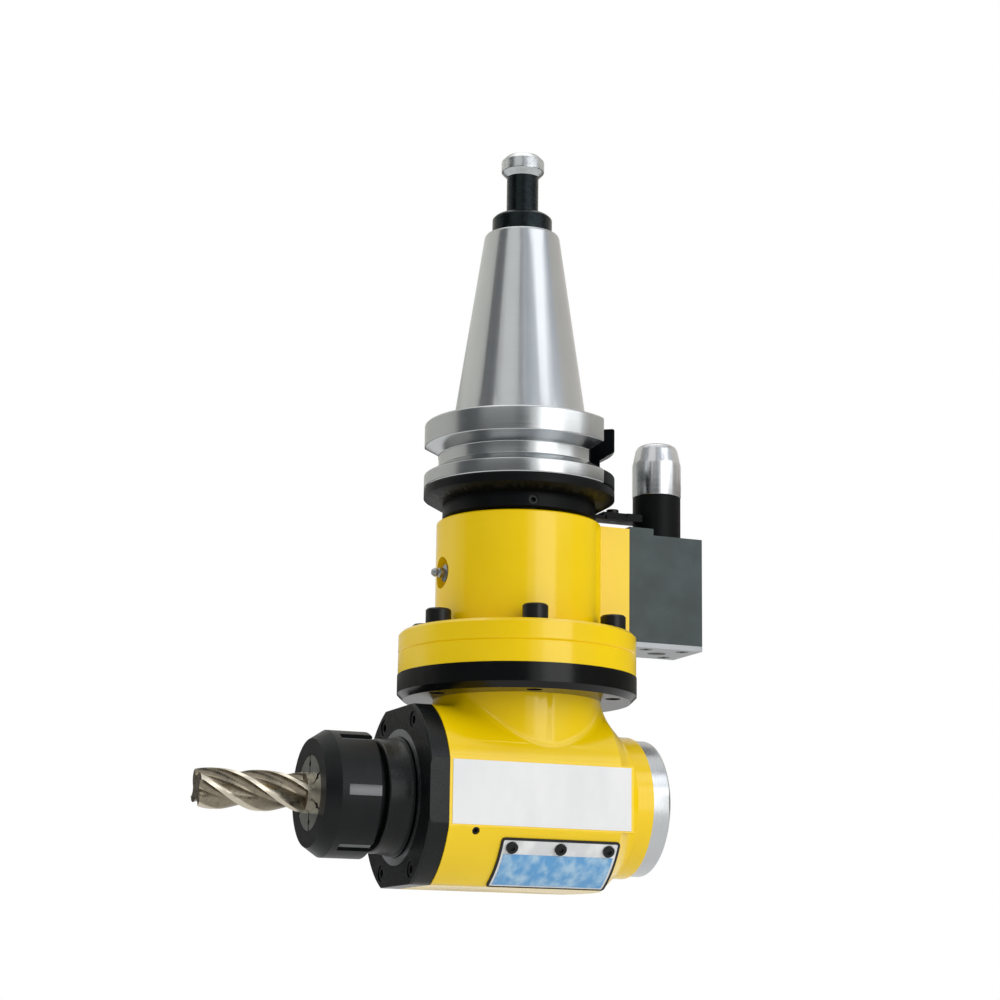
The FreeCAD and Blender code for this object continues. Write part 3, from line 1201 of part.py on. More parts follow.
def half_angles(rises):
    """Half the angle that a tooth fills at each rise above the pitch cone, seen from the gear's axis."""
    cone_distance = float(S.gear_pitch_dia) / 2 * math.sqrt(2)
    teeth = float(S.gear_teeth)
    virtual_teeth = teeth * math.sqrt(2)
    module = float(S.gear_pitch_dia) / teeth
    pressure = math.radians(PRESSURE_ANGLE)
    base_radius = cone_distance * math.cos(pressure)
    involute = math.tan(pressure) - pressure
    pitch_half = math.pi / 2 / virtual_teeth - float(S.gear_backlash) / 2 / cone_distance
    result = []
    for rise in rises:
        radius = max(cone_distance + rise * module, base_radius)
        local = math.acos(base_radius / radius)
        half = pitch_half + involute - (math.tan(local) - local)
        polar = math.pi / 4 + math.atan(rise * module / cone_distance)
        turn = half * (cone_distance + rise * module) / (cone_distance * math.sin(polar))
        result.append((math.tan(polar), turn))
    return result


def gear_wire(height, first_turn):
    """The gear's outline in the plane at one height above the crossing of the axes."""
    root_rise = -1.25
    tip_rise = 1.0
    profile = half_angles([root_rise, -0.7, 0.0, 0.5, tip_rise])
    points = []
    teeth = int(float(S.gear_teeth))
    for tooth in range(teeth):
        centre = first_turn + 2 * math.pi * tooth / teeth
        flank = [(slope, centre - turn) for slope, turn in profile]
        flank += [(slope, centre + turn) for slope, turn in reversed(profile)]
        for slope, turn in flank:
            reach = slope * height
            points.append(FreeCAD.Vector(reach * math.cos(turn), reach * math.sin(turn), height))
    return Part.makePolygon(points + points[:1])


def gear_teeth(first_turn):
    wires = [gear_wire(float(height), first_turn) for height in (GEAR_TOE, PITCH_RADIUS)]
    return Part.makeLoft(wires, True, True)


def plain_rod(dia, low, high):
    base = FreeCAD.Vector(0, 0, float(low))
    return Part.makeCylinder(float(dia) / 2, float(high) - float(low), base)


def bevel_gears():
    """Both gears are made with the crossing of the axes at the origin, and then set in place."""
    heel = PITCH_RADIUS
    hub_end = S.neck_bearing_rise
    teeth = gear_teeth(0.0)
    gear = teeth.fuse(plain_rod(S.input_gear_hub, heel, hub_end))
    gear = gear.cut(plain_rod(S.input_gear_bore, GEAR_TOE, hub_end))
    gear = gear.cut(plain_rod(S.gear_recess_dia, GEAR_TOE, GEAR_TOE + S.gear_recess_depth))
    keyway = input_key_box()
    doc.recompute()
    to_axis = FreeCAD.Placement(FreeCAD.Vector(0, 0, -float(Z_AXIS)), FreeCAD.Rotation())
    gear = gear.cut(keyway.Shape.transformed(to_axis.toMatrix()))
    feature("input_bevel_gear", gear, FreeCAD.Placement(FreeCAD.Vector(0, 0, Z_AXIS), FreeCAD.Rotation()))
    half_pitch = math.pi / float(S.gear_teeth)
    teeth = gear_teeth(half_pitch)
    gear = teeth.fuse(plain_rod(S.output_gear_hub, heel, S.rear_start))
    gear = gear.cut(plain_rod(S.output_gear_bore, GEAR_TOE, S.rear_start))
    to_tail = FreeCAD.Rotation(FreeCAD.Vector(1, 0, 0), 180)
    keyway = output_key_box()
    doc.recompute()
    gear = gear.cut(keyway.Shape.transformed(FreeCAD.Placement(FreeCAD.Vector(), to_tail).toMatrix()))
    frame = SPINDLE_FRAME.multiply(FreeCAD.Placement(FreeCAD.Vector(), to_tail))
    feature("output_bevel_gear", gear, frame)


def input_key_box():
    radius = S.input_gear_bore / 2
    half = S.key_width / 2
    top = Z_NECK_BEARING_END - S.key_length / 4
    return box((radius - S.key_height / 2, radius + S.key_height / 2), (-half, half), (top - S.key_length, top))


def output_key_box():
    radius = S.output_gear_bore / 2
    half = S.key_width / 2
    back = -S.rear_start + S.key_length / 4
    return box((radius - S.key_height / 2, radius + S.key_height / 2), (-half, half), (back, back + S.key_length))


def gear_fixings():
    keep(input_key_box(), "input_gear_key")
    keep(on_spindle(compound([output_key_box()])), "output_gear_key")
    end = Z_AXIS + GEAR_TOE + S.gear_recess_depth
    head = S.gear_recess_dia - S.gear_screw_play * 2
    screw = cap_screw(S.gear_screw_dia, S.gear_screw_length, head, S.gear_screw_height, S.gear_screw_dia * 0.6)
    flip = FreeCAD.Rotation(FreeCAD.Vector(1, 0, 0), 180)
    placed("input_gear_screw", screw, FreeCAD.Placement(FreeCAD.Vector(0, 0, end), flip))


def collet():
    bore = S.mill_dia / 2 + S.running_clearance
    mouth = S.collet_seat_dia / 2 - S.running_clearance
    back = mouth - (S.nose_end - S.collet_start) * SEAT_SLOPE
    front = mouth - (S.nose_end - S.collet_groove_start) * SEAT_SLOPE
    groove_end = S.collet_groove_start + S.collet_groove_width
    groove = S.collet_groove_dia / 2
    blank = turned("collet_turning", [
        (bore, S.collet_start), (back, S.collet_start), (front, S.collet_groove_start),
        (groove, S.collet_groove_start), (groove, groove_end), (S.collet_head_dia / 2, groove_end),
        (S.collet_face_dia / 2, S.collet_front), (bore, S.collet_front),
    ])
    tools = []
    half = S.collet_slit / 2
    wide = S.collet_head_dia
    count = int(float(S.collet_slit_count))
    for index in range(count):
        for from_back in (0, 1):
            turn = 360.0 * (index + 0.5 * from_back) / count
            if from_back:
                limits = (S.collet_start, S.collet_start + S.collet_slit_length)
            else:
                limits = (S.collet_front - S.collet_slit_length, S.collet_front)
            slit = box((bore * 0.5, wide), (-half, half), limits)
            holder = compound([slit])
            holder.Placement.Rotation = FreeCAD.Rotation(FreeCAD.Vector(0, 0, 1), turn)
            tools.append(holder)
    hole_circle = (S.mill_dia + S.collet_face_dia) / 2
    slitted = cut(blank, tools)
    places = ring_places(S.collet_slit_count, hole_circle, S.collet_front, 0)
    keep(on_spindle(drilled(slitted, places, S.collet_hole_dia, S.collet_groove_width * 2)), "collet")


def collet_nut():
    thread = S.nose_thread_dia / 2 + S.running_clearance
    groove = S.nut_groove_dia / 2
    ring_seat = S.nose_end + S.face_clearance * 4
    ring_front = S.collet_groove_start + S.collet_groove_width - S.face_clearance
    outside = S.nut_dia / 2
    head = S.collet_head_dia / 2 + S.running_clearance * 3
    mouth = S.nut_mouth_dia / 2
    blank = turned("nut_turning", [
        (thread, S.nut_back), (outside - S.edge_break, S.nut_back), (outside, S.nut_back + S.edge_break),
        (outside, S.nut_front - S.nut_bevel), (S.nut_nose_dia / 2, S.nut_front), (mouth, S.nut_front),
        (mouth, S.collet_front), (head, ring_front + S.face_clearance), (groove, ring_front + S.face_clearance),
        (groove, ring_seat), (thread, ring_seat),
    ])
    tools = []
    half = S.nut_slot_width / 2
    floor = outside - S.nut_slot_depth
    for index in range(int(float(S.nut_slot_count))):
        slot = box((floor, outside * 1.1), (-half, half), (S.nut_back, S.nut_back + S.nut_slot_length))
        turn = S.nut_slot_turn + Size("(%d * 360 / %s)" % (index, formula(S.nut_slot_count)),
                                      index * 360.0 / float(S.nut_slot_count))
        tools.append(turned_about(slot, turn))
    keep(on_spindle(cut(blank, tools)), "collet_nut")
    ring = washer("extractor_ring", S.collet_groove_dia + S.running_clearance * 6, S.nut_groove_dia,
                  ring_front - S.extractor_width, ring_front)
    keep(on_spindle(ring), "extractor_ring")


def mill_section(first_turn):
    """One cross-section of the fluted part: lands on the full circle, and hollows down to the core."""
    radius = float(S.mill_dia) / 2
    core = float(S.mill_core_dia) / 2
    count = int(float(S.mill_flutes))
    land = float(S.mill_land) / radius
    edges = []
    for index in range(count):
        start = first_turn + 2 * math.pi * index / count
        end_land = start + land
        next_start = start + 2 * math.pi / count
        deep = start + (land + 2 * math.pi / count) * 0.58

        def at(reach, turn):
            return FreeCAD.Vector(reach * math.cos(turn), reach * math.sin(turn), 0)

        edges.append(Part.Arc(at(radius, start), at(radius, start + land / 2), at(radius, end_land)).toShape())
        middle = (core + radius) / 2
        heel = at(middle * 1.06, end_land + (deep - end_land) * 0.42)
        edges.append(Part.Arc(at(radius, end_land), heel, at(core, deep)).toShape())
        hook = at(middle * 0.86, deep + (next_start - deep) * 0.86)
        edges.append(Part.Arc(at(core, deep), hook, at(radius, next_start)).toShape())
    return Part.Wire(edges)


def end_mill():
    """The fluted part is one cross-section swept along a right-hand helix."""
    radius = float(S.mill_dia) / 2
    length = float(S.mill_tip - S.mill_flute_start)
    pitch = 2 * math.pi * radius / math.tan(math.radians(float(S.mill_helix_angle)))
    helix = Part.makeHelix(pitch, length, radius)
    sweep = Part.BRepOffsetAPI.MakePipeShell(Part.Wire(helix.Edges))
    sweep.setFrenetMode(True)
    section = mill_section(0.0)
    sweep.add(section, False, False)
    sweep.build()
    faces = list(sweep.shape().Faces)
    faces.append(Part.Face(section))
    faces.append(Part.Face(sweep.lastShape()))
    fluted = Part.Solid(Part.makeShell(faces))
    fluted.translate(FreeCAD.Vector(0, 0, S.mill_flute_start))
    shank = plain_rod(S.mill_dia, S.mill_back, S.mill_flute_start)
    feature("end_mill", shank.fuse(fluted), SPINDLE_FRAME)


def check_document():
    for item in doc.Objects:
        for word in ("Invalid", "Error"):
            if word in item.State:
                raise RuntimeError("%s is %s" % (item.Label, word))
    for name, item in kept.items():
        shape = item.Shape
        if shape.isNull() or not shape.isValid() or not shape.Solids:
            raise RuntimeError("%s has no valid solid" % name)


def build():
    taper_shank()
    pull_stud()
    orientation_ring()
    upper_housing()
    swivel_ring()
    clamp_ring()
    swivel_screws()
    dust_seal()
    grease_nipple()
    input_bearings()
    input_line()
    positioning_block()
    base_plate()
    block_screws()
    spring_plug()
    pin_spring()
    locating_pin()
    lock_arm()
    head_housing()
    name_plate()
    side_label()
    grease_plug()
    front_cover()
    cover_seals()
    spindle_bearings()
    rear_cap()
    output_spindle()
    nose_collar()
    bevel_gears()
    gear_fixings()
    collet()
    collet_nut()
    end_mill()
    doc.recompute()
    check_document()


build()
os.makedirs("parts", exist_ok=True)
for name, item in kept.items():
    item.Shape.exportStep("parts/%s.step" % name)
print("%d nodes" % len(kept))
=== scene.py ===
"""The look of the angle head: enamelled housings, a ground taper shank and a collet spindle."""
import json
import math

import bmesh
import bpy
from mathutils import Matrix, Vector


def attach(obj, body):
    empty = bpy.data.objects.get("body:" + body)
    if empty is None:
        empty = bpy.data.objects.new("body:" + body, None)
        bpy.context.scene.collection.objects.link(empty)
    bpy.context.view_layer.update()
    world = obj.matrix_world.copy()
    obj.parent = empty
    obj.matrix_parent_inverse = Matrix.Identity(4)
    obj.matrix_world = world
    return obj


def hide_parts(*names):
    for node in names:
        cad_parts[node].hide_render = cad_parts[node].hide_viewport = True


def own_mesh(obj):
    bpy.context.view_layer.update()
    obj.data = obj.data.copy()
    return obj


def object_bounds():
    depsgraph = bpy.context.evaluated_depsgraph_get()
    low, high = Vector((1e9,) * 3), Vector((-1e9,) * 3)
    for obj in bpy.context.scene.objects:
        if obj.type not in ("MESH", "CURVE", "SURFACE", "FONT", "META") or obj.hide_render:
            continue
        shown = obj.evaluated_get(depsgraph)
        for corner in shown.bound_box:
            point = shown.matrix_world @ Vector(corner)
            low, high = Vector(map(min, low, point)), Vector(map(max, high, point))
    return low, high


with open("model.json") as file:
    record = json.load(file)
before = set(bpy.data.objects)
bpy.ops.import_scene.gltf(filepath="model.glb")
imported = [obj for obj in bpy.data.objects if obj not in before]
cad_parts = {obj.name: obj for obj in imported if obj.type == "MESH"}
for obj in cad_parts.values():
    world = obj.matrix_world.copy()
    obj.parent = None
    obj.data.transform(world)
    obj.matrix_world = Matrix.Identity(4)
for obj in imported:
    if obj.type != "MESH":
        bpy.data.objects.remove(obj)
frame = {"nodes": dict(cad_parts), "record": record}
nodes = frame["nodes"]
cad_low, cad_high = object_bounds()

MM = 0.001
SPINDLE_HEIGHT = -200.3 * MM
SPINDLE_AXIS = (0, 0, SPINDLE_HEIGHT)
PIN_OFFSET = 80 * MM
PIN_AXIS = (PIN_OFFSET, 0, 0)
SHANK_AXIS = (0, 0, 0)
SHARP = math.radians(32)


# Colours and shader nodes

def srgb(code):
    """Turns a hex sRGB colour to linear."""
    values = [int(code[at:at + 2], 16) / 255 for at in (1, 3, 5)]
    linear = [value / 12.92 if value <= 0.04045 else ((value + 0.055) / 1.055) ** 2.4 for value in values]
    return (*linear, 1.0)


def add(tree, kind, inputs=None, **settings):
    """Adds one shader node; an input that is another node's socket is linked, and any other is set."""
    node = tree.nodes.new(kind)
    for name, value in settings.items():
        setattr(node, name, value)
    for name, value in (inputs or {}).items():
        if isinstance(value, bpy.types.NodeSocket):
            tree.links.new(value, node.inputs[name])
        else:
            node.inputs[name].default_value = value
    return node


def new_finish(name):
    """Starts a material and gives its node tree and the place on the piece, in metres."""
    material = bpy.data.materials.new(name)
    material.use_nodes = True
    tree = material.node_tree
    tree.nodes.clear()
    return material, tree, add(tree, "ShaderNodeTexCoord").outputs["Object"]


def lay_on(tree, **inputs):
    """Ends a material with its one shader. A name's underscores stand for the socket's spaces."""
    sockets = {name.replace("_", " "): value for name, value in inputs.items()}
    surface = add(tree, "ShaderNodeBsdfPrincipled", sockets)
    add(tree, "ShaderNodeOutputMaterial", {"Surface": surface.outputs[0]})


def spindle_place(tree, place):
    """The place along the spindle's axis, and the distance from that axis."""
    apart = add(tree, "ShaderNodeSeparateXYZ", {"Vector": place})
    down = add(tree, "ShaderNodeMath", {0: apart.outputs[2], 1: SPINDLE_HEIGHT}, operation="SUBTRACT")
    across = add(tree, "ShaderNodeCombineXYZ", {"Y": apart.outputs[1], "Z": down.outputs[0]})
    radius = add(tree, "ShaderNodeVectorMath", {0: across.outputs[0]}, operation="LENGTH")
    return apart.outputs[0], radius.outputs["Value"]


def ground_lines(tree, place, start, scale, low, high):
    """The fine lines that a grinding wheel or a turning tool leaves, and a clouded tone that follows them."""
    along = add(tree, "ShaderNodeMapping", {"Vector": place, "Location": start, "Scale": scale})
    lines = add(tree, "ShaderNodeTexNoise", {"Vector": along.outputs[0], "Scale": 1.0, "Detail": 3.0})
    cloud = add(tree, "ShaderNodeTexNoise", {"Vector": place, "Scale": 1 / (22 * MM), "Detail": 2.0})
    share = add(tree, "ShaderNodeMath", {0: lines.outputs[0], 1: cloud.outputs[0]}, operation="MULTIPLY")
    tone = add(tree, "ShaderNodeMix", {0: share.outputs[0], 6: srgb(low), 7: srgb(high)}, data_type="RGBA")
    return lines.outputs[0], tone.outputs[2]


def background_rays(tree):
    """One for a ray that shows the background, straight, through glass or mirrored; zero for any other."""
    rays = add(tree, "ShaderNodeLightPath")
    straight = add(tree, "ShaderNodeMath",
                   {0: rays.outputs["Is Camera Ray"], 1: rays.outputs["Is Transmission Ray"]},
                   operation="MAXIMUM")
    mirrored = add(tree, "ShaderNodeMath", {0: straight.outputs[0], 1: rays.outputs["Is Glossy Ray"]},
                   operation="MAXIMUM")
    return mirrored.outputs[0]


# How far a noise reaches, and where on a piece its finish changes

NOISE_LOW = 0.3
NOISE_HIGH = 0.7
# Where the shank's drive slots lie; the shank is painted near-black there, as painted shade.
SLOT_TURN = math.radians(143)
SLOT_FLOOR = 35.1 * MM
SLOT_HALF_WIDTH = 13.0 * MM
SLOT_ROUGHER = 0.3
STUD_HEAD_HEIGHT = 134.8 * MM
# The ring of the nut's slot floors, which is painted light grey as a painted highlight.
NUT_SLOT_RADIUS = 29.4 * MM
NUT_BORE_RADIUS = 26.6 * MM
NUT_SLOT_END = -100 * MM
LAND_START_RADIUS = 9.4 * MM
LAND_FULL_RADIUS = 9.8 * MM


# Finishes

def enamel():
    """Two-pack enamel sprayed on a machined casting: even and glossy, with the gun's faint orange peel."""
    material, tree, place = new_finish("sprayed_yellow_enamel")
    cloud = add(tree, "ShaderNodeTexNoise", {"Vector": place, "Scale": 1 / (40 * MM), "Detail": 3.0})
    peel = add(tree, "ShaderNodeTexNoise", {"Vector": place, "Scale": 1 / (1.8 * MM), "Detail": 1.0})
    colour = add(tree, "ShaderNodeMix", {0: cloud.outputs[0], 6: srgb("#EEC500"), 7: srgb("#FAD704")},
                 data_type="RGBA")
    rough = add(tree, "ShaderNodeMapRange",
                {0: cloud.outputs[0], 1: NOISE_LOW, 2: NOISE_HIGH, 3: 0.13, 4: 0.20})
    bump = add(tree, "ShaderNodeBump", {"Height": peel.outputs[0], "Strength": 0.06, "Distance": 0.04 * MM})
    lay_on(tree, Base_Color=colour.outputs[2], Roughness=rough.outputs[0], Normal=bump.outputs[0], IOR=1.5)
    return material


def black_oxide(name, low, high, rough, gloss):
    """Hot blackened steel: a thin dark conversion layer over machined metal, satin, a little uneven.
    The tool marks under it are about 0.1 mm apart, so their grain is drawn coarser."""
    material, tree, place = new_finish(name)
    cloud = add(tree, "ShaderNodeTexNoise", {"Vector": place, "Scale": 1 / (9 * MM), "Detail": 4.0})
    grain = add(tree, "ShaderNodeTexNoise", {"Vector": place, "Scale": 1 / (0.6 * MM), "Detail": 2.0})
    colour = add(tree, "ShaderNodeMix", {0: cloud.outputs[0], 6: srgb(low), 7: srgb(high)}, data_type="RGBA")
    smoothest = rough - 0.05
    roughest = rough + 0.07
    spread = add(tree, "ShaderNodeMapRange",
                 {0: grain.outputs[0], 1: NOISE_LOW, 2: NOISE_HIGH, 3: smoothest, 4: roughest})
    bump = add(tree, "ShaderNodeBump", {"Height": grain.outputs[0], "Strength": 0.10, "Distance": 0.03 * MM})
    lay_on(tree, Base_Color=colour.outputs[2], Roughness=spread.outputs[0], Normal=bump.outputs[0],
           Specular_IOR_Level=gloss)
    return material


def ground_metal(name, axis, centre, low, high, rough, pitch):
    """Metal ground or turned round an axis: bright, with fine lines round it that draw out each highlight.
    The real lines are about 0.05 mm apart, so they are drawn coarser, at a pitch in millimetres."""
    material, tree, place = new_finish(name)
    drawn_out = 0.02
    scale = [drawn_out / (pitch * MM)] * 3
    scale["XYZ".index(axis)] = 1.0 / (pitch * MM)
    start = [-part * size for part, size in zip(centre, scale)]
    lines, tone = ground_lines(tree, place, start, scale, low, high)
    smoothest = rough - 0.04
    roughest = rough + 0.04
    spread = add(tree, "ShaderNodeMapRange",
                 {0: lines, 1: NOISE_LOW, 2: NOISE_HIGH, 3: smoothest, 4: roughest})
    bump = add(tree, "ShaderNodeBump", {"Height": lines, "Strength": 0.07, "Distance": 0.03 * MM})
    lay_on(tree, Base_Color=tone, Roughness=spread.outputs[0], Normal=bump.outputs[0], Metallic=1.0)
    return material


def shank_steel():
    """The shank's taper and flange, ground bright all round. Its drive slots are painted near-black and
    rougher, as painted shade for the shadow inside them.
    The wheel's lines are drawn coarser than the real 0.05 mm, and faint, so highlights stay upright bands."""
    material, tree, place = new_finish("ground_shank_steel")
    scale = (1 / (40 * MM), 1 / (40 * MM), 1 / (0.6 * MM))
    lines, tone = ground_lines(tree, place, SHANK_AXIS, scale, "#B4B7B8", "#C5C7C9")
    outward = (math.cos(SLOT_TURN), math.sin(SLOT_TURN), 0.0)
    sideways = (-outward[1], outward[0], 0.0)
    limits = ((outward, SLOT_FLOOR, "GREATER_THAN"), (sideways, SLOT_HALF_WIDTH, "LESS_THAN"))
    inside = []
    for direction, limit, test in limits:
        reach = add(tree, "ShaderNodeVectorMath", {0: place, 1: direction}, operation="DOT_PRODUCT")
        size = add(tree, "ShaderNodeMath", {0: reach.outputs["Value"]}, operation="ABSOLUTE")
        inside.append(add(tree, "ShaderNodeMath", {0: size.outputs[0], 1: limit}, operation=test).outputs[0])
    # Inside both limits the shank is painted near-black: painted shade for the shadow in the drive slots.
    painted_slot_shade = add(tree, "ShaderNodeMath", {0: inside[0], 1: inside[1]}, operation="MULTIPLY")
    colour = add(tree, "ShaderNodeMix", {0: painted_slot_shade.outputs[0], 6: tone, 7: srgb("#15181A")}, data_type="RGBA")
    ground = add(tree, "ShaderNodeMapRange", {0: lines, 1: NOISE_LOW, 2: NOISE_HIGH, 3: 0.20, 4: 0.25})
    rough = add(tree, "ShaderNodeMath", {0: painted_slot_shade.outputs[0], 1: SLOT_ROUGHER, 2: ground.outputs[0]},
                operation="MULTIPLY_ADD")
    bump = add(tree, "ShaderNodeBump", {"Height": lines, "Strength": 0.03, "Distance": 0.02 * MM})
    lay_on(tree, Base_Color=colour.outputs[2], Roughness=rough.outputs[0], Normal=bump.outputs[0],
           Metallic=1.0)
    return material


def stud_steel():
    """The pull stud: blackened steel with its gripping head polished bright."""
    material, tree, place = new_finish("blackened_stud_with_polished_head")
    cloud = add(tree, "ShaderNodeTexNoise", {"Vector": place, "Scale": 1 / (3 * MM), "Detail": 4.0})
    apart = add(tree, "ShaderNodeSeparateXYZ", {"Vector": place})
    head = add(tree, "ShaderNodeMath", {0: apart.outputs[2], 1: STUD_HEAD_HEIGHT}, operation="GREATER_THAN")
    black = add(tree, "ShaderNodeMix", {0: cloud.outputs[0], 6: srgb("#15191B"), 7: srgb("#2B3133")},
                data_type="RGBA")
    bright = add(tree, "ShaderNodeMix", {0: cloud.outputs[0], 6: srgb("#9EA2A3"), 7: srgb("#D2D5D6")},
                 data_type="RGBA")
    colour = add(tree, "ShaderNodeMix", {0: head.outputs[0], 6: black.outputs[2], 7: bright.outputs[2]},
                 data_type="RGBA")
    rough = add(tree, "ShaderNodeMapRange",
                {0: cloud.outputs[0], 1: NOISE_LOW, 2: NOISE_HIGH, 3: 0.20, 4: 0.32})
    bump = add(tree, "ShaderNodeBump", {"Height": cloud.outputs[0], "Strength": 0.08, "Distance": 0.05 * MM})
    lay_on(tree, Base_Color=colour.outputs[2], Roughness=rough.outputs[0], Normal=bump.outputs[0],
           Metallic=1.0)
    return material


def nut_steel():
    """The collet nut: blackened and satin, with the floors of its spanner slots painted light grey as a
    painted highlight.
    The tool marks are about 0.1 mm apart, so their grain is drawn coarser."""
    material, tree, place = new_finish("blackened_nut_with_painted_slot_highlight")
    cloud = add(tree, "ShaderNodeTexNoise", {"Vector": place, "Scale": 1 / (7 * MM), "Detail": 4.0})
    grain = add(tree, "ShaderNodeTexNoise", {"Vector": place, "Scale": 1 / (0.6 * MM), "Detail": 2.0})
    along, radius = spindle_place(tree, place)
    sunk = add(tree, "ShaderNodeMath", {0: radius, 1: NUT_SLOT_RADIUS}, operation="LESS_THAN")
    outside = add(tree, "ShaderNodeMath", {0: radius, 1: NUT_BORE_RADIUS}, operation="GREATER_THAN")
    behind = add(tree, "ShaderNodeMath", {0: along, 1: NUT_SLOT_END}, operation="GREATER_THAN")
    ring = add(tree, "ShaderNodeMath", {0: sunk.outputs[0], 1: outside.outputs[0]}, operation="MULTIPLY")
    painted_slot_highlight = add(tree, "ShaderNodeMath", {0: ring.outputs[0], 1: behind.outputs[0]}, operation="MULTIPLY")
    black = add(tree, "ShaderNodeMix", {0: cloud.outputs[0], 6: srgb("#0A0C0D"), 7: srgb("#16191A")},
                data_type="RGBA")
    # The slot floors are painted light grey: a painted highlight on the black nut.
    colour = add(tree, "ShaderNodeMix", {0: painted_slot_highlight.outputs[0], 6: black.outputs[2], 7: srgb("#8B8E90")},
                 data_type="RGBA")
    rough = add(tree, "ShaderNodeMapRange",
                {0: grain.outputs[0], 1: NOISE_LOW, 2: NOISE_HIGH, 3: 0.34, 4: 0.46})
    bump = add(tree, "ShaderNodeBump", {"Height": grain.outputs[0], "Strength": 0.10, "Distance": 0.03 * MM})
    lay_on(tree, Base_Color=colour.outputs[2], Roughness=rough.outputs[0], Normal=bump.outputs[0],
           Specular_IOR_Level=0.2)
    return material


def phosphated_steel():
    """Steel block, milled and phosphated: matt dark grey-green, with a salt-and-pepper grain of crystals.
    The crystals are about 0.02 mm, so they are drawn coarser. Two noises added lie between 0.7 and 1.3."""
    material, tree, place = new_finish("phosphated_block")
    cloud = add(tree, "ShaderNodeTexNoise", {"Vector": place, "Scale": 1 / (12 * MM), "Detail": 5.0})
    grain = add(tree, "ShaderNodeTexNoise", {"Vector": place, "Scale": 1 / (0.5 * MM), "Detail": 2.0})
    share = add(tree, "ShaderNodeMath", {0: cloud.outputs[0], 1: grain.outputs[0]}, operation="ADD")
    level = add(tree, "ShaderNodeMapRange", {0: share.outputs[0], 1: 0.7, 2: 1.3, 3: 0.0, 4: 1.0})
    colour = add(tree, "ShaderNodeMix", {0: level.outputs[0], 6: srgb("#333C3D"), 7: srgb("#424D4F")},
                 data_type="RGBA")
    rough = add(tree, "ShaderNodeMapRange",
                {0: grain.outputs[0], 1: NOISE_LOW, 2: NOISE_HIGH, 3: 0.45, 4: 0.58})
    bump = add(tree, "ShaderNodeBump", {"Height": grain.outputs[0], "Strength": 0.15, "Distance": 0.04 * MM})
    lay_on(tree, Base_Color=colour.outputs[2], Roughness=rough.outputs[0], Normal=bump.outputs[0],
           Specular_IOR_Level=0.4)
    return material


def nitrile_rubber():
    """Moulded nitrile rubber: black and matt."""
    material, tree, place = new_finish("nitrile_rubber")
    grain = add(tree, "ShaderNodeTexNoise", {"Vector": place, "Scale": 1 / (0.8 * MM), "Detail": 2.0})
    colour = add(tree, "ShaderNodeMix", {0: grain.outputs[0], 6: srgb("#121212"), 7: srgb("#1E1E1E")},
                 data_type="RGBA")
    rough = add(tree, "ShaderNodeMapRange",
                {0: grain.outputs[0], 1: NOISE_LOW, 2: NOISE_HIGH, 3: 0.65, 4: 0.8})
    lay_on(tree, Base_Color=colour.outputs[2], Roughness=rough.outputs[0], IOR=1.5)
    return material


def label_film(name, low, high, patch):
    """Printed vinyl film: smooth, semi-matt, left blank, its ink a little uneven in slanting patches."""
    material, tree, place = new_finish(name)
    slant = (0.0, math.radians(35), 0.0)
    patches = (1 / patch, 1 / patch, 0.35 / patch)
    turned = add(tree, "ShaderNodeMapping", {"Vector": place, "Rotation": slant, "Scale": patches})
    cloud = add(tree, "ShaderNodeTexNoise", {"Vector": turned.outputs[0], "Scale": 1.0, "Detail": 5.0})
    level = add(tree, "ShaderNodeMapRange", {0: cloud.outputs[0], 1: 0.42, 2: 0.66, 3: 0.0, 4: 1.0})
    colour = add(tree, "ShaderNodeMix", {0: level.outputs[0], 6: srgb(low), 7: srgb(high)}, data_type="RGBA")
    rough = add(tree, "ShaderNodeMapRange",
                {0: cloud.outputs[0], 1: NOISE_LOW, 2: NOISE_HIGH, 3: 0.30, 4: 0.42})
    lay_on(tree, Base_Color=colour.outputs[2], Roughness=rough.outputs[0], IOR=1.46)
    return material


def coated_cutter():
    """Milling cutter in coated steel: brown-grey flutes, with the lands ground bright after coating."""
    material, tree, place = new_finish("bronze_coated_cutter")
    radius = spindle_place(tree, place)[1]
    land = add(tree, "ShaderNodeMapRange",
               {0: radius, 1: LAND_START_RADIUS, 2: LAND_FULL_RADIUS, 3: 0.0, 4: 1.0})
    cloud = add(tree, "ShaderNodeTexNoise", {"Vector": place, "Scale": 1 / (3 * MM), "Detail": 4.0})
    flute = add(tree, "ShaderNodeMix", {0: cloud.outputs[0], 6: srgb("#655D50"), 7: srgb("#A39A88")},
                data_type="RGBA")
    colour = add(tree, "ShaderNodeMix", {0: land.outputs[0], 6: flute.outputs[2], 7: srgb("#CBC3B2")},
                 data_type="RGBA")
    rough = add(tree, "ShaderNodeMapRange",
                {0: cloud.outputs[0], 1: NOISE_LOW, 2: NOISE_HIGH, 3: 0.24, 4: 0.38})
    bump = add(tree, "ShaderNodeBump", {"Height": cloud.outputs[0], "Strength": 0.15, "Distance": 0.08 * MM})
    lay_on(tree, Base_Color=colour.outputs[2], Roughness=rough.outputs[0], Normal=bump.outputs[0],
           Metallic=1.0)
    return material


ENAMEL = enamel()

# The oxide is satin on the cover, dull on the rings, and shines on the ground clamp ring. The spindle takes
# the dull oxide too, partly as painted shade for the dark gap between the nut and the collar.
BLACK = black_oxide("blackened_cover_steel", "#090B0C", "#131617", 0.30, 0.25)
DULL_BLACK = black_oxide("blackened_ring_steel", "#060708", "#101213", 0.38, 0.10)
RING_BLACK = black_oxide("ground_and_blackened_ring", "#050606", "#0C0E0F", 0.20, 0.25)
FASTENER = black_oxide("blackened_fastener", "#090A0B", "#151617", 0.34, 0.3)

SHANK_STEEL = shank_steel()
STUD_STEEL = stud_steel()
NUT_STEEL = nut_steel()
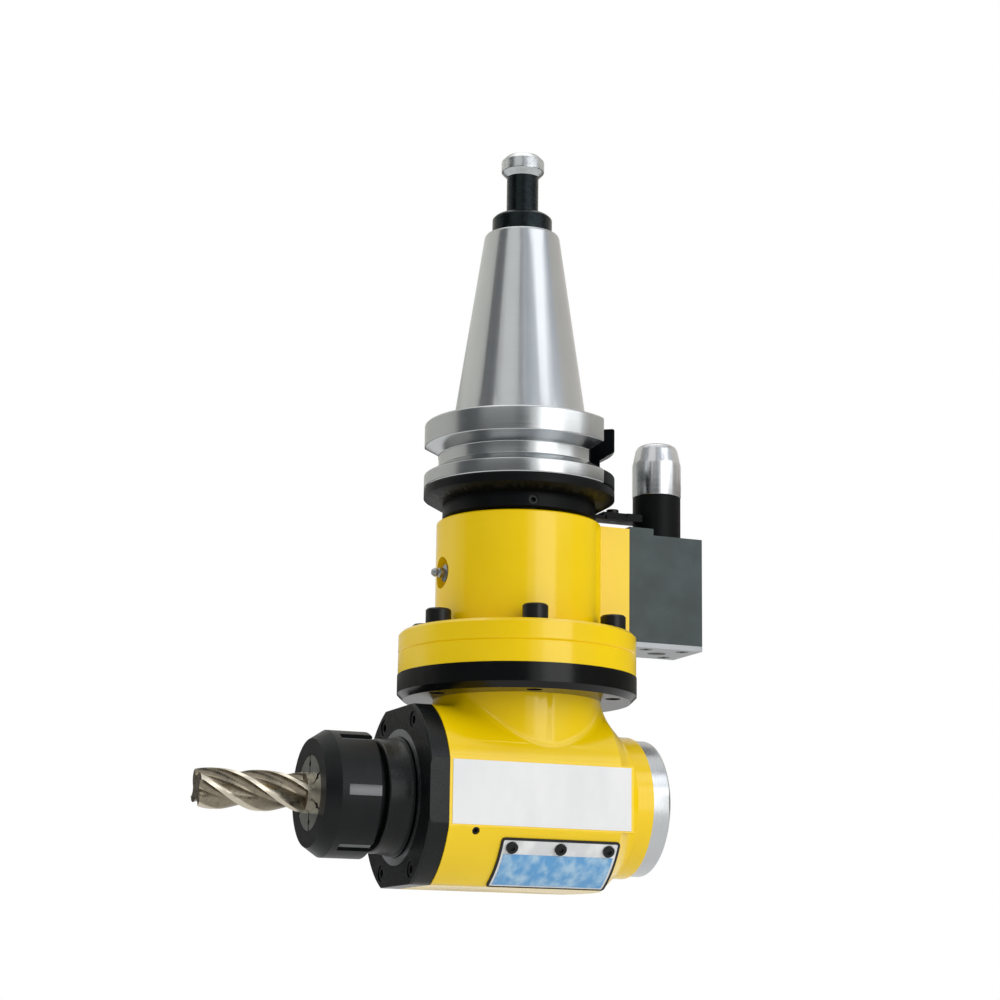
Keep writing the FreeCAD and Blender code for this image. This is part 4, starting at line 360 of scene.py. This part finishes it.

# Finer grinding is brighter: the pin and the bearings shine, the gears and the drawn wire are greyer, the
# hardened collet has a warm tint, and the turned aluminium cap is the palest. The pin's colour is also
# lifted, as painted light making up for the dark card that it reflects.
PIN_STEEL = ground_metal("ground_pin_steel", "Z", PIN_AXIS, "#C2C4C6", "#DCDEE0", 0.22, 0.6)
SPINDLE_STEEL = ground_metal("ground_spindle_steel", "X", SPINDLE_AXIS, "#A6A9AB", "#C6C9CB", 0.30, 0.6)
COLLET_STEEL = ground_metal("hardened_collet_steel", "X", SPINDLE_AXIS, "#83857F", "#B9BBB5", 0.34, 0.6)
CAP_ALUMINIUM = ground_metal("turned_aluminium", "X", SPINDLE_AXIS, "#B9BCBE", "#D6D8DA", 0.26, 0.5)
MACHINED_STEEL = ground_metal("machined_steel", "Z", SHANK_AXIS, "#8E9193", "#B0B2B4", 0.32, 0.8)
BEARING_STEEL = ground_metal("lapped_bearing_steel", "Z", SHANK_AXIS, "#B2B5B7", "#CFD1D3", 0.15, 0.5)
GEAR_STEEL = ground_metal("ground_gear_steel", "Z", SHANK_AXIS, "#7F8284", "#A6A9AB", 0.30, 0.6)
SPRING_STEEL = ground_metal("drawn_spring_wire", "Z", PIN_AXIS, "#7C7F81", "#A0A3A5", 0.35, 0.5)

BLOCK = phosphated_steel()
RUBBER = nitrile_rubber()
WHITE_LABEL = label_film("blank_white_label", "#E3E5E6", "#EBECEC", 20 * MM)
PLATE_WHITE = label_film("white_lacquered_plate", "#D8DADC", "#ECEDEE", 8 * MM)
BLUE_LABEL = label_film("blank_blue_label", "#61A2D8", "#A9CDE8", 6 * MM)
CUTTER = coated_cutter()

FINISHES = {
    ENAMEL: ["upper_housing", "swivel_ring", "head_housing"],
    BLACK: ["front_cover", "nose_collar"],
    RING_BLACK: ["clamp_ring"],
    DULL_BLACK: ["orientation_ring", "pin_collar", "lock_arm", "lock_tongue", "output_spindle"],
    FASTENER: ["flange_screws", "clamp_lock_screws", "cover_screws", "block_screws", "tongue_screw",
               "name_plate_screws", "ring_screw", "spring_plug", "base_plate_screws", "grease_plug",
               "input_gear_screw", "extractor_ring"],
    SHANK_STEEL: ["taper_shank"],
    STUD_STEEL: ["pull_stud"],
    NUT_STEEL: ["collet_nut"],
    PIN_STEEL: ["locating_pin"],
    SPINDLE_STEEL: ["seal_ring", "front_locknut", "rear_locknut"],
    COLLET_STEEL: ["collet"],
    CAP_ALUMINIUM: ["rear_cap"],
    MACHINED_STEEL: ["bearing_retainer", "neck_retainer", "input_locknut", "shaft_sleeve", "input_gear_key",
                     "output_gear_key", "base_plate", "grease_nipple"],
    BEARING_STEEL: ["input_bearing_inner_rings", "upper_bearing_outer_rings", "upper_bearing_balls",
                    "neck_bearing_outer_ring", "neck_bearing_balls", "spindle_bearing_inner_rings",
                    "spindle_bearing_outer_rings", "spindle_bearing_balls"],
    GEAR_STEEL: ["input_bevel_gear", "output_bevel_gear"],
    SPRING_STEEL: ["pin_spring"],
    BLOCK: ["positioning_block"],
    RUBBER: ["dust_seal", "oil_seal"],
    WHITE_LABEL: ["side_label"],
    PLATE_WHITE: ["name_plate"],
    BLUE_LABEL: ["name_label"],
    CUTTER: ["end_mill"],
}
finish_of = {name: finish for finish, names in FINISHES.items() for name in names}
for name, finish in finish_of.items():
    mesh = nodes[name].data
    mesh.materials.clear()
    mesh.materials.append(finish)


# Ways to make a piece

MERGE_DISTANCE = 0.002 * MM
FLAT = math.radians(0.5)
LISTING = Vector((1.0, 7.3, 53.9))

bodies = frame["record"]["behaviour"]["bodies"]
body_of = {name: body for body, names in bodies.items() for name in names}


def make_object(name, shape, finish):
    """Makes a bmesh an object of the scene, in one finish."""
    mesh = bpy.data.meshes.new(name)
    shape.to_mesh(mesh)
    shape.free()
    mesh.materials.append(finish)
    made = bpy.data.objects.new(name, mesh)
    bpy.context.scene.collection.objects.link(made)
    return made


def new_piece(name, shape, node, replaced=True):
    """Makes a bmesh a piece that rides with a node, in its finish, and takes its place if asked."""
    for face in shape.faces:
        face.smooth = True
    piece = make_object(name, shape, finish_of[node])
    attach(piece, body_of[node])
    if replaced:
        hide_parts(node)
    return piece


def merged_copy(node):
    """A bmesh of a node's mesh, with its loose triangles joined."""
    shape = bmesh.new()
    shape.from_mesh(nodes[node].data)
    bmesh.ops.remove_doubles(shape, verts=shape.verts, dist=MERGE_DISTANCE)
    return shape


def face_outward(shape):
    """Points a closed shape's faces outward, and keeps its sharp edges sharp."""
    bmesh.ops.recalc_face_normals(shape, faces=shape.faces)
    for edge in shape.edges:
        edge.smooth = edge.calc_face_angle() < SHARP


def list_by_place(shape):
    """Lists edges and faces along a slanting line, because solidify gives its side walls no fixed order."""
    shape.edges.sort(key=lambda edge: (edge.verts[0].co + edge.verts[1].co).dot(LISTING))
    shape.faces.sort(key=lambda face: face.calc_center_bounds().dot(LISTING))


# Pieces that take a CAD node's place with finer edges, whose widths are in millimetres

EDGE_STEPS = 2
EDGE_WIDTHS = {
    "upper_housing": 0.8, "swivel_ring": 0.5, "head_housing": 0.8, "front_cover": 0.6, "clamp_ring": 0.5,
    "orientation_ring": 0.4, "taper_shank": 0.4, "pull_stud": 0.5, "positioning_block": 0.6,
    "base_plate": 0.3, "rear_cap": 0.6, "collet_nut": 0.6, "nose_collar": 0.4, "pin_collar": 0.4,
    "locating_pin": 0.3,
}


def broken_edges(node, width):
    """Rounds the sharp edges of a copy of a node, as deburring or a coat of paint leaves them."""
    shape = merged_copy(node)
    bmesh.ops.dissolve_limit(shape, angle_limit=FLAT, use_dissolve_boundaries=False, verts=shape.verts,
                             edges=shape.edges)
    corners = [edge for edge in shape.edges if edge.is_manifold and edge.calc_face_angle() > SHARP]
    bmesh.ops.bevel(shape, geom=corners, offset=width, offset_type="OFFSET", affect="EDGES",
                    segments=EDGE_STEPS, profile=0.5, material=-1, clamp_overlap=True)
    return shape


for node, width in EDGE_WIDTHS.items():
    piece = new_piece(node + "_finished", broken_edges(node, width * MM), node)
    piece.modifiers.new("flats_stay_flat", "WEIGHTED_NORMAL").keep_sharp = True


# Spring under the locating pin, as a piece with its own mesh

spring = new_piece("pin_spring_coil", merged_copy("pin_spring"), "pin_spring")
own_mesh(spring)


# Black strip in the gap round the name plate: a painted shadow line for the shade in the gap

PLATE_FRONT = -25 * MM
PLATE_BACK = 37 * MM
PLATE_RADIUS = 50.6 * MM
PLATE_TOP_TURN = math.radians(26)
PLATE_FOOT_TURN = math.radians(60)
SHADOW_STRIP_CORNER = 2 * MM
SHADOW_STRIP_WIDTH = 1.2 * MM
SHADOW_STRIP_OUTSIDE = 0.9 * MM
SHADOW_STRIP_PROUD = 0.15 * MM
SHADOW_STRIP_DEPTH = 0.9 * MM
STEPS_ALONG = 24
STEPS_ROUND = 12
CORNER_STEPS = 4

gap_shadow_strip = bmesh.new()
bmesh.ops.create_grid(gap_shadow_strip, x_segments=STEPS_ALONG, y_segments=STEPS_ROUND, size=0.5)
plate_length = PLATE_BACK - PLATE_FRONT + 2 * SHADOW_STRIP_OUTSIDE
plate_girth = (PLATE_FOOT_TURN - PLATE_TOP_TURN) * PLATE_RADIUS + 2 * SHADOW_STRIP_OUTSIDE
bmesh.ops.scale(gap_shadow_strip, verts=gap_shadow_strip.verts, vec=(plate_length, plate_girth, 1))
corners = [vert for vert in gap_shadow_strip.verts if len(vert.link_edges) == 2]
bmesh.ops.bevel(gap_shadow_strip, geom=corners, offset=SHADOW_STRIP_CORNER, offset_type="OFFSET", affect="VERTICES",
                segments=CORNER_STEPS, profile=0.5, material=-1)
strip = bmesh.ops.inset_region(gap_shadow_strip, faces=gap_shadow_strip.faces, thickness=SHADOW_STRIP_WIDTH, use_even_offset=True,
                               use_boundary=True)["faces"]
inner = [face for face in gap_shadow_strip.faces if face not in set(strip)]
bmesh.ops.delete(gap_shadow_strip, geom=inner, context="FACES")
bmesh.ops.solidify(gap_shadow_strip, geom=gap_shadow_strip.faces, thickness=SHADOW_STRIP_DEPTH)
lift = PLATE_RADIUS + SHADOW_STRIP_PROUD - max(vert.co.z for vert in gap_shadow_strip.verts)
middle_turn = (PLATE_TOP_TURN + PLATE_FOOT_TURN) / 2
middle_place = (PLATE_FRONT + PLATE_BACK) / 2
for vert in gap_shadow_strip.verts:
    turn = middle_turn + vert.co.y / PLATE_RADIUS
    radius = vert.co.z + lift
    height = max(SPINDLE_HEIGHT - math.sin(turn) * radius, cad_low[2])
    vert.co = (vert.co.x + middle_place, -math.cos(turn) * radius, height)
face_outward(gap_shadow_strip)
list_by_place(gap_shadow_strip)
# The strip takes the black rubber finish as a painted shadow round the plate.
new_piece("name_plate_gap_shadow", gap_shadow_strip, "oil_seal", replaced=False)


# Fillet where the casting's neck runs into its barrel

NECK_RADIUS = 43 * MM
BARREL_RADIUS = 50 * MM
BARREL_END = 37.5 * MM
BARREL_TAPER = 13.5 / 14.5
TOP_FLAT = 45 * MM
FILLET_RADIUS = 9 * MM
FILLET_TURNS = 120
FILLET_STEPS = 12
FILLET_HEM = 0.6 * MM
FILLET_SUNK = 0.03 * MM
FILLET_PROBE = 0.05 * MM
FILLET_BACK = 1 * MM
FILLET_MERGE = 0.001 * MM
UP = Vector((0, 0, 1))


def barrel_top(across, near):
    """The place on the barrel's upper surface at x across and y near, from the crossing of the axes."""
    radius = BARREL_RADIUS - max(across - BARREL_END, 0) * BARREL_TAPER
    height = min(math.sqrt(max(radius * radius - near * near, 0)), TOP_FLAT)
    return Vector((across, near, SPINDLE_HEIGHT + height))


def fillet_place(turn, row):
    """A place on the fillet's skin, whose rows run from its hem on the barrel to its hem on the neck."""
    outward = Vector((math.cos(turn), math.sin(turn), 0))
    corner = barrel_top(outward.x * NECK_RADIUS, outward.y * NECK_RADIUS)
    beyond = barrel_top(corner.x + outward.x * FILLET_PROBE, corner.y + outward.y * FILLET_PROBE)
    slope = (beyond - corner).normalized()
    reach = FILLET_RADIUS / math.tan(slope.angle(UP) / 2)
    foot = corner + slope * reach
    foot = barrel_top(foot.x, foot.y)
    top = corner + UP * reach
    if row == 0:
        hem = barrel_top(foot.x + slope.x * FILLET_HEM, foot.y + slope.y * FILLET_HEM)
        return hem - UP * FILLET_SUNK
    if row == FILLET_STEPS + 2:
        return top + UP * FILLET_HEM - outward * FILLET_SUNK
    if row == FILLET_STEPS + 3:
        return corner - outward * FILLET_BACK - UP * FILLET_BACK
    share = (row - 1) / FILLET_STEPS
    return foot * (1 - share) ** 2 + corner * (2 * share * (1 - share)) + top * share ** 2


bead = bmesh.new()
rows = FILLET_STEPS + 4
bmesh.ops.create_grid(bead, x_segments=FILLET_TURNS, y_segments=rows, size=0.5)
for vert in bead.verts:
    row = round((vert.co.y + 0.5) * rows) % rows
    vert.co = fillet_place((vert.co.x + 0.5) * math.tau, row)
bmesh.ops.remove_doubles(bead, verts=bead.verts, dist=FILLET_MERGE)
face_outward(bead)
new_piece("neck_fillet", bead, "head_housing", replaced=False)


# Camera, as the photograph sees the object from below its flange

CAMERA_PLACE = Vector((-0.48601, -1.15955, -0.30881))
CAMERA_RIGHT = Vector((0.92415, -0.38180, 0.01311)).normalized()
CAMERA_FORWARD = Vector((0.37102, 0.90518, 0.20735)).normalized()
CAMERA_LENS = 88.33

camera_up = CAMERA_RIGHT.cross(CAMERA_FORWARD)
camera_data = bpy.data.cameras.new("camera")
camera_data.lens = CAMERA_LENS
camera_data.sensor_width = 36.0
camera_data.clip_end = 50.0
camera = bpy.data.objects.new("camera", camera_data)
turn = Matrix((CAMERA_RIGHT, camera_up, -CAMERA_FORWARD)).transposed()
camera.matrix_world = Matrix.Translation(CAMERA_PLACE) @ turn.to_4x4()
bpy.context.scene.collection.objects.link(camera)
bpy.context.scene.camera = camera


# Floor and world

FLOOR_HEIGHT = -0.36
FLOOR_REACH = 6.0
FLOOR_GLOW = 0.6
SKY_LIGHT = 0.55
WHITE = (1, 1, 1, 1)


def studio_paper():
    """Pale studio paper: matt, a little uneven, lifted towards white where it is the background.
    Its fibres are under a millimetre, so they are drawn coarser."""
    material, tree, place = new_finish("pale_studio_paper")
    fibre = add(tree, "ShaderNodeTexNoise", {"Vector": place, "Scale": 1 / (4 * MM), "Detail": 2.0})
    colour = add(tree, "ShaderNodeMix", {0: fibre.outputs[0], 6: srgb("#F0F0EF"), 7: srgb("#F6F6F5")},
                 data_type="RGBA")
    share = add(tree, "ShaderNodeMapRange", {0: background_rays(tree), 3: 0.0, 4: FLOOR_GLOW})
    matt = add(tree, "ShaderNodeBsdfDiffuse", {"Color": colour.outputs[2]})
    glow = add(tree, "ShaderNodeEmission", {"Color": WHITE, "Strength": 1.0})
    lifted = add(tree, "ShaderNodeMixShader", {0: share.outputs[0], 1: matt.outputs[0], 2: glow.outputs[0]})
    add(tree, "ShaderNodeOutputMaterial", {"Surface": lifted.outputs[0]})
    return material


floor_shape = bmesh.new()
bmesh.ops.create_grid(floor_shape, x_segments=1, y_segments=1, size=FLOOR_REACH)
bmesh.ops.translate(floor_shape, verts=floor_shape.verts, vec=(0, 0, FLOOR_HEIGHT))
make_object("floor", floor_shape, studio_paper())

world = bpy.data.worlds.new("studio")
bpy.context.scene.world = world
world.use_nodes = True
sky = world.node_tree
sky.nodes.clear()
strength = add(sky, "ShaderNodeMapRange", {0: background_rays(sky), 3: SKY_LIGHT, 4: 1.0})
light = add(sky, "ShaderNodeBackground", {"Color": WHITE, "Strength": strength.outputs[0]})
add(sky, "ShaderNodeOutputWorld", {"Surface": light.outputs[0]})


# Cards that only reflections see, and lamps

CARD_DISTANCE = 1.5
CARD_STEP = 5
CARD_TOP = 1.9
CARD_FOOT = -0.30
CLOTH_WORN = 0.94
LAMP_AIM = Vector((0.0, 0.0, -0.05))


def around(turn, distance, height):
    """A place round the object: turn is in degrees to the right of the camera, seen from the object."""
    back = Vector((-CAMERA_FORWARD.x, -CAMERA_FORWARD.y, 0)).normalized()
    side = Vector((-back.y, back.x, 0))
    angle = math.radians(turn)
    return back * (math.cos(angle) * distance) + side * (math.sin(angle) * distance) + Vector((0, 0, height))


def card_cloth(name, code):
    """Matt studio cloth, without any gloss, a little worn in patches."""
    material, tree, place = new_finish(name)
    weave = add(tree, "ShaderNodeTexNoise", {"Vector": place, "Scale": 1 / (20 * MM)})
    worn = [part * CLOTH_WORN for part in srgb(code)]
    shade = add(tree, "ShaderNodeMix", {0: weave.outputs[0], 6: srgb(code), 7: worn}, data_type="RGBA")
    lay_on(tree, Base_Color=shade.outputs[2], Roughness=1.0, Specular_IOR_Level=0.0)
    return material


def card(name, left, right, low, high, code):
    """A studio card, curved round the object between two turns, which only reflections see."""
    shape = bmesh.new()
    segments = max(round((right - left) / CARD_STEP), 1)
    bmesh.ops.create_grid(shape, x_segments=segments, y_segments=1, size=0.5)
    for vert in shape.verts:
        turn = left + (vert.co.x + 0.5) * (right - left)
        vert.co = around(turn, CARD_DISTANCE, low + (vert.co.y + 0.5) * (high - low))
    made = make_object(name, shape, card_cloth(name + "_cloth", code))
    for ray in ("visible_camera", "visible_diffuse", "visible_shadow"):
        setattr(made, ray, False)


def softbox(name, place, width, height, power):
    """A studio softbox at a place, aimed at the object."""
    lamp = bpy.data.lights.new(name, "AREA")
    lamp.shape = "RECTANGLE"
    lamp.size = width
    lamp.size_y = height
    lamp.energy = power
    box = bpy.data.objects.new(name, lamp)
    box.location = place
    box.rotation_euler = (LAMP_AIM - Vector(place)).to_track_quat("-Z", "Y").to_euler()
    bpy.context.scene.collection.objects.link(box)


card("low_flag", -80, 12, CARD_FOOT, 0.42, "#6A6D6F")
card("left_flag", -80, -48, 0.42, CARD_TOP, "#8A8C8F")
card("middle_flag", -4, 4, 0.42, CARD_TOP, "#A8ABAE")
card("upper_flag", 8, 86, 0.62, CARD_TOP, "#E6EDF8")
card("left_low_wall", -180, -80, CARD_FOOT, 0.08, "#4C4C4B")
card("left_wall", -180, -80, 0.08, 0.55, "#DAD9D3")
card("left_high_wall", -180, -80, 0.55, CARD_TOP, "#FBFAF3")
card("right_low_wall", 52, 180, CARD_FOOT, 0.30, "#7A7873")
card("right_wall", 86, 180, 0.30, CARD_TOP, "#F6F2EC")

softbox("key_softbox", around(50, 1.6, 0.45), width=1.7, height=1.8, power=15)
softbox("left_softbox", around(-110, 1.7, 0.4), width=0.8, height=1.4, power=7)
softbox("top_softbox", (0.1, 0.2, 1.6), width=1.2, height=1.2, power=5)

bpy.context.scene.view_settings.view_transform = "Standard"
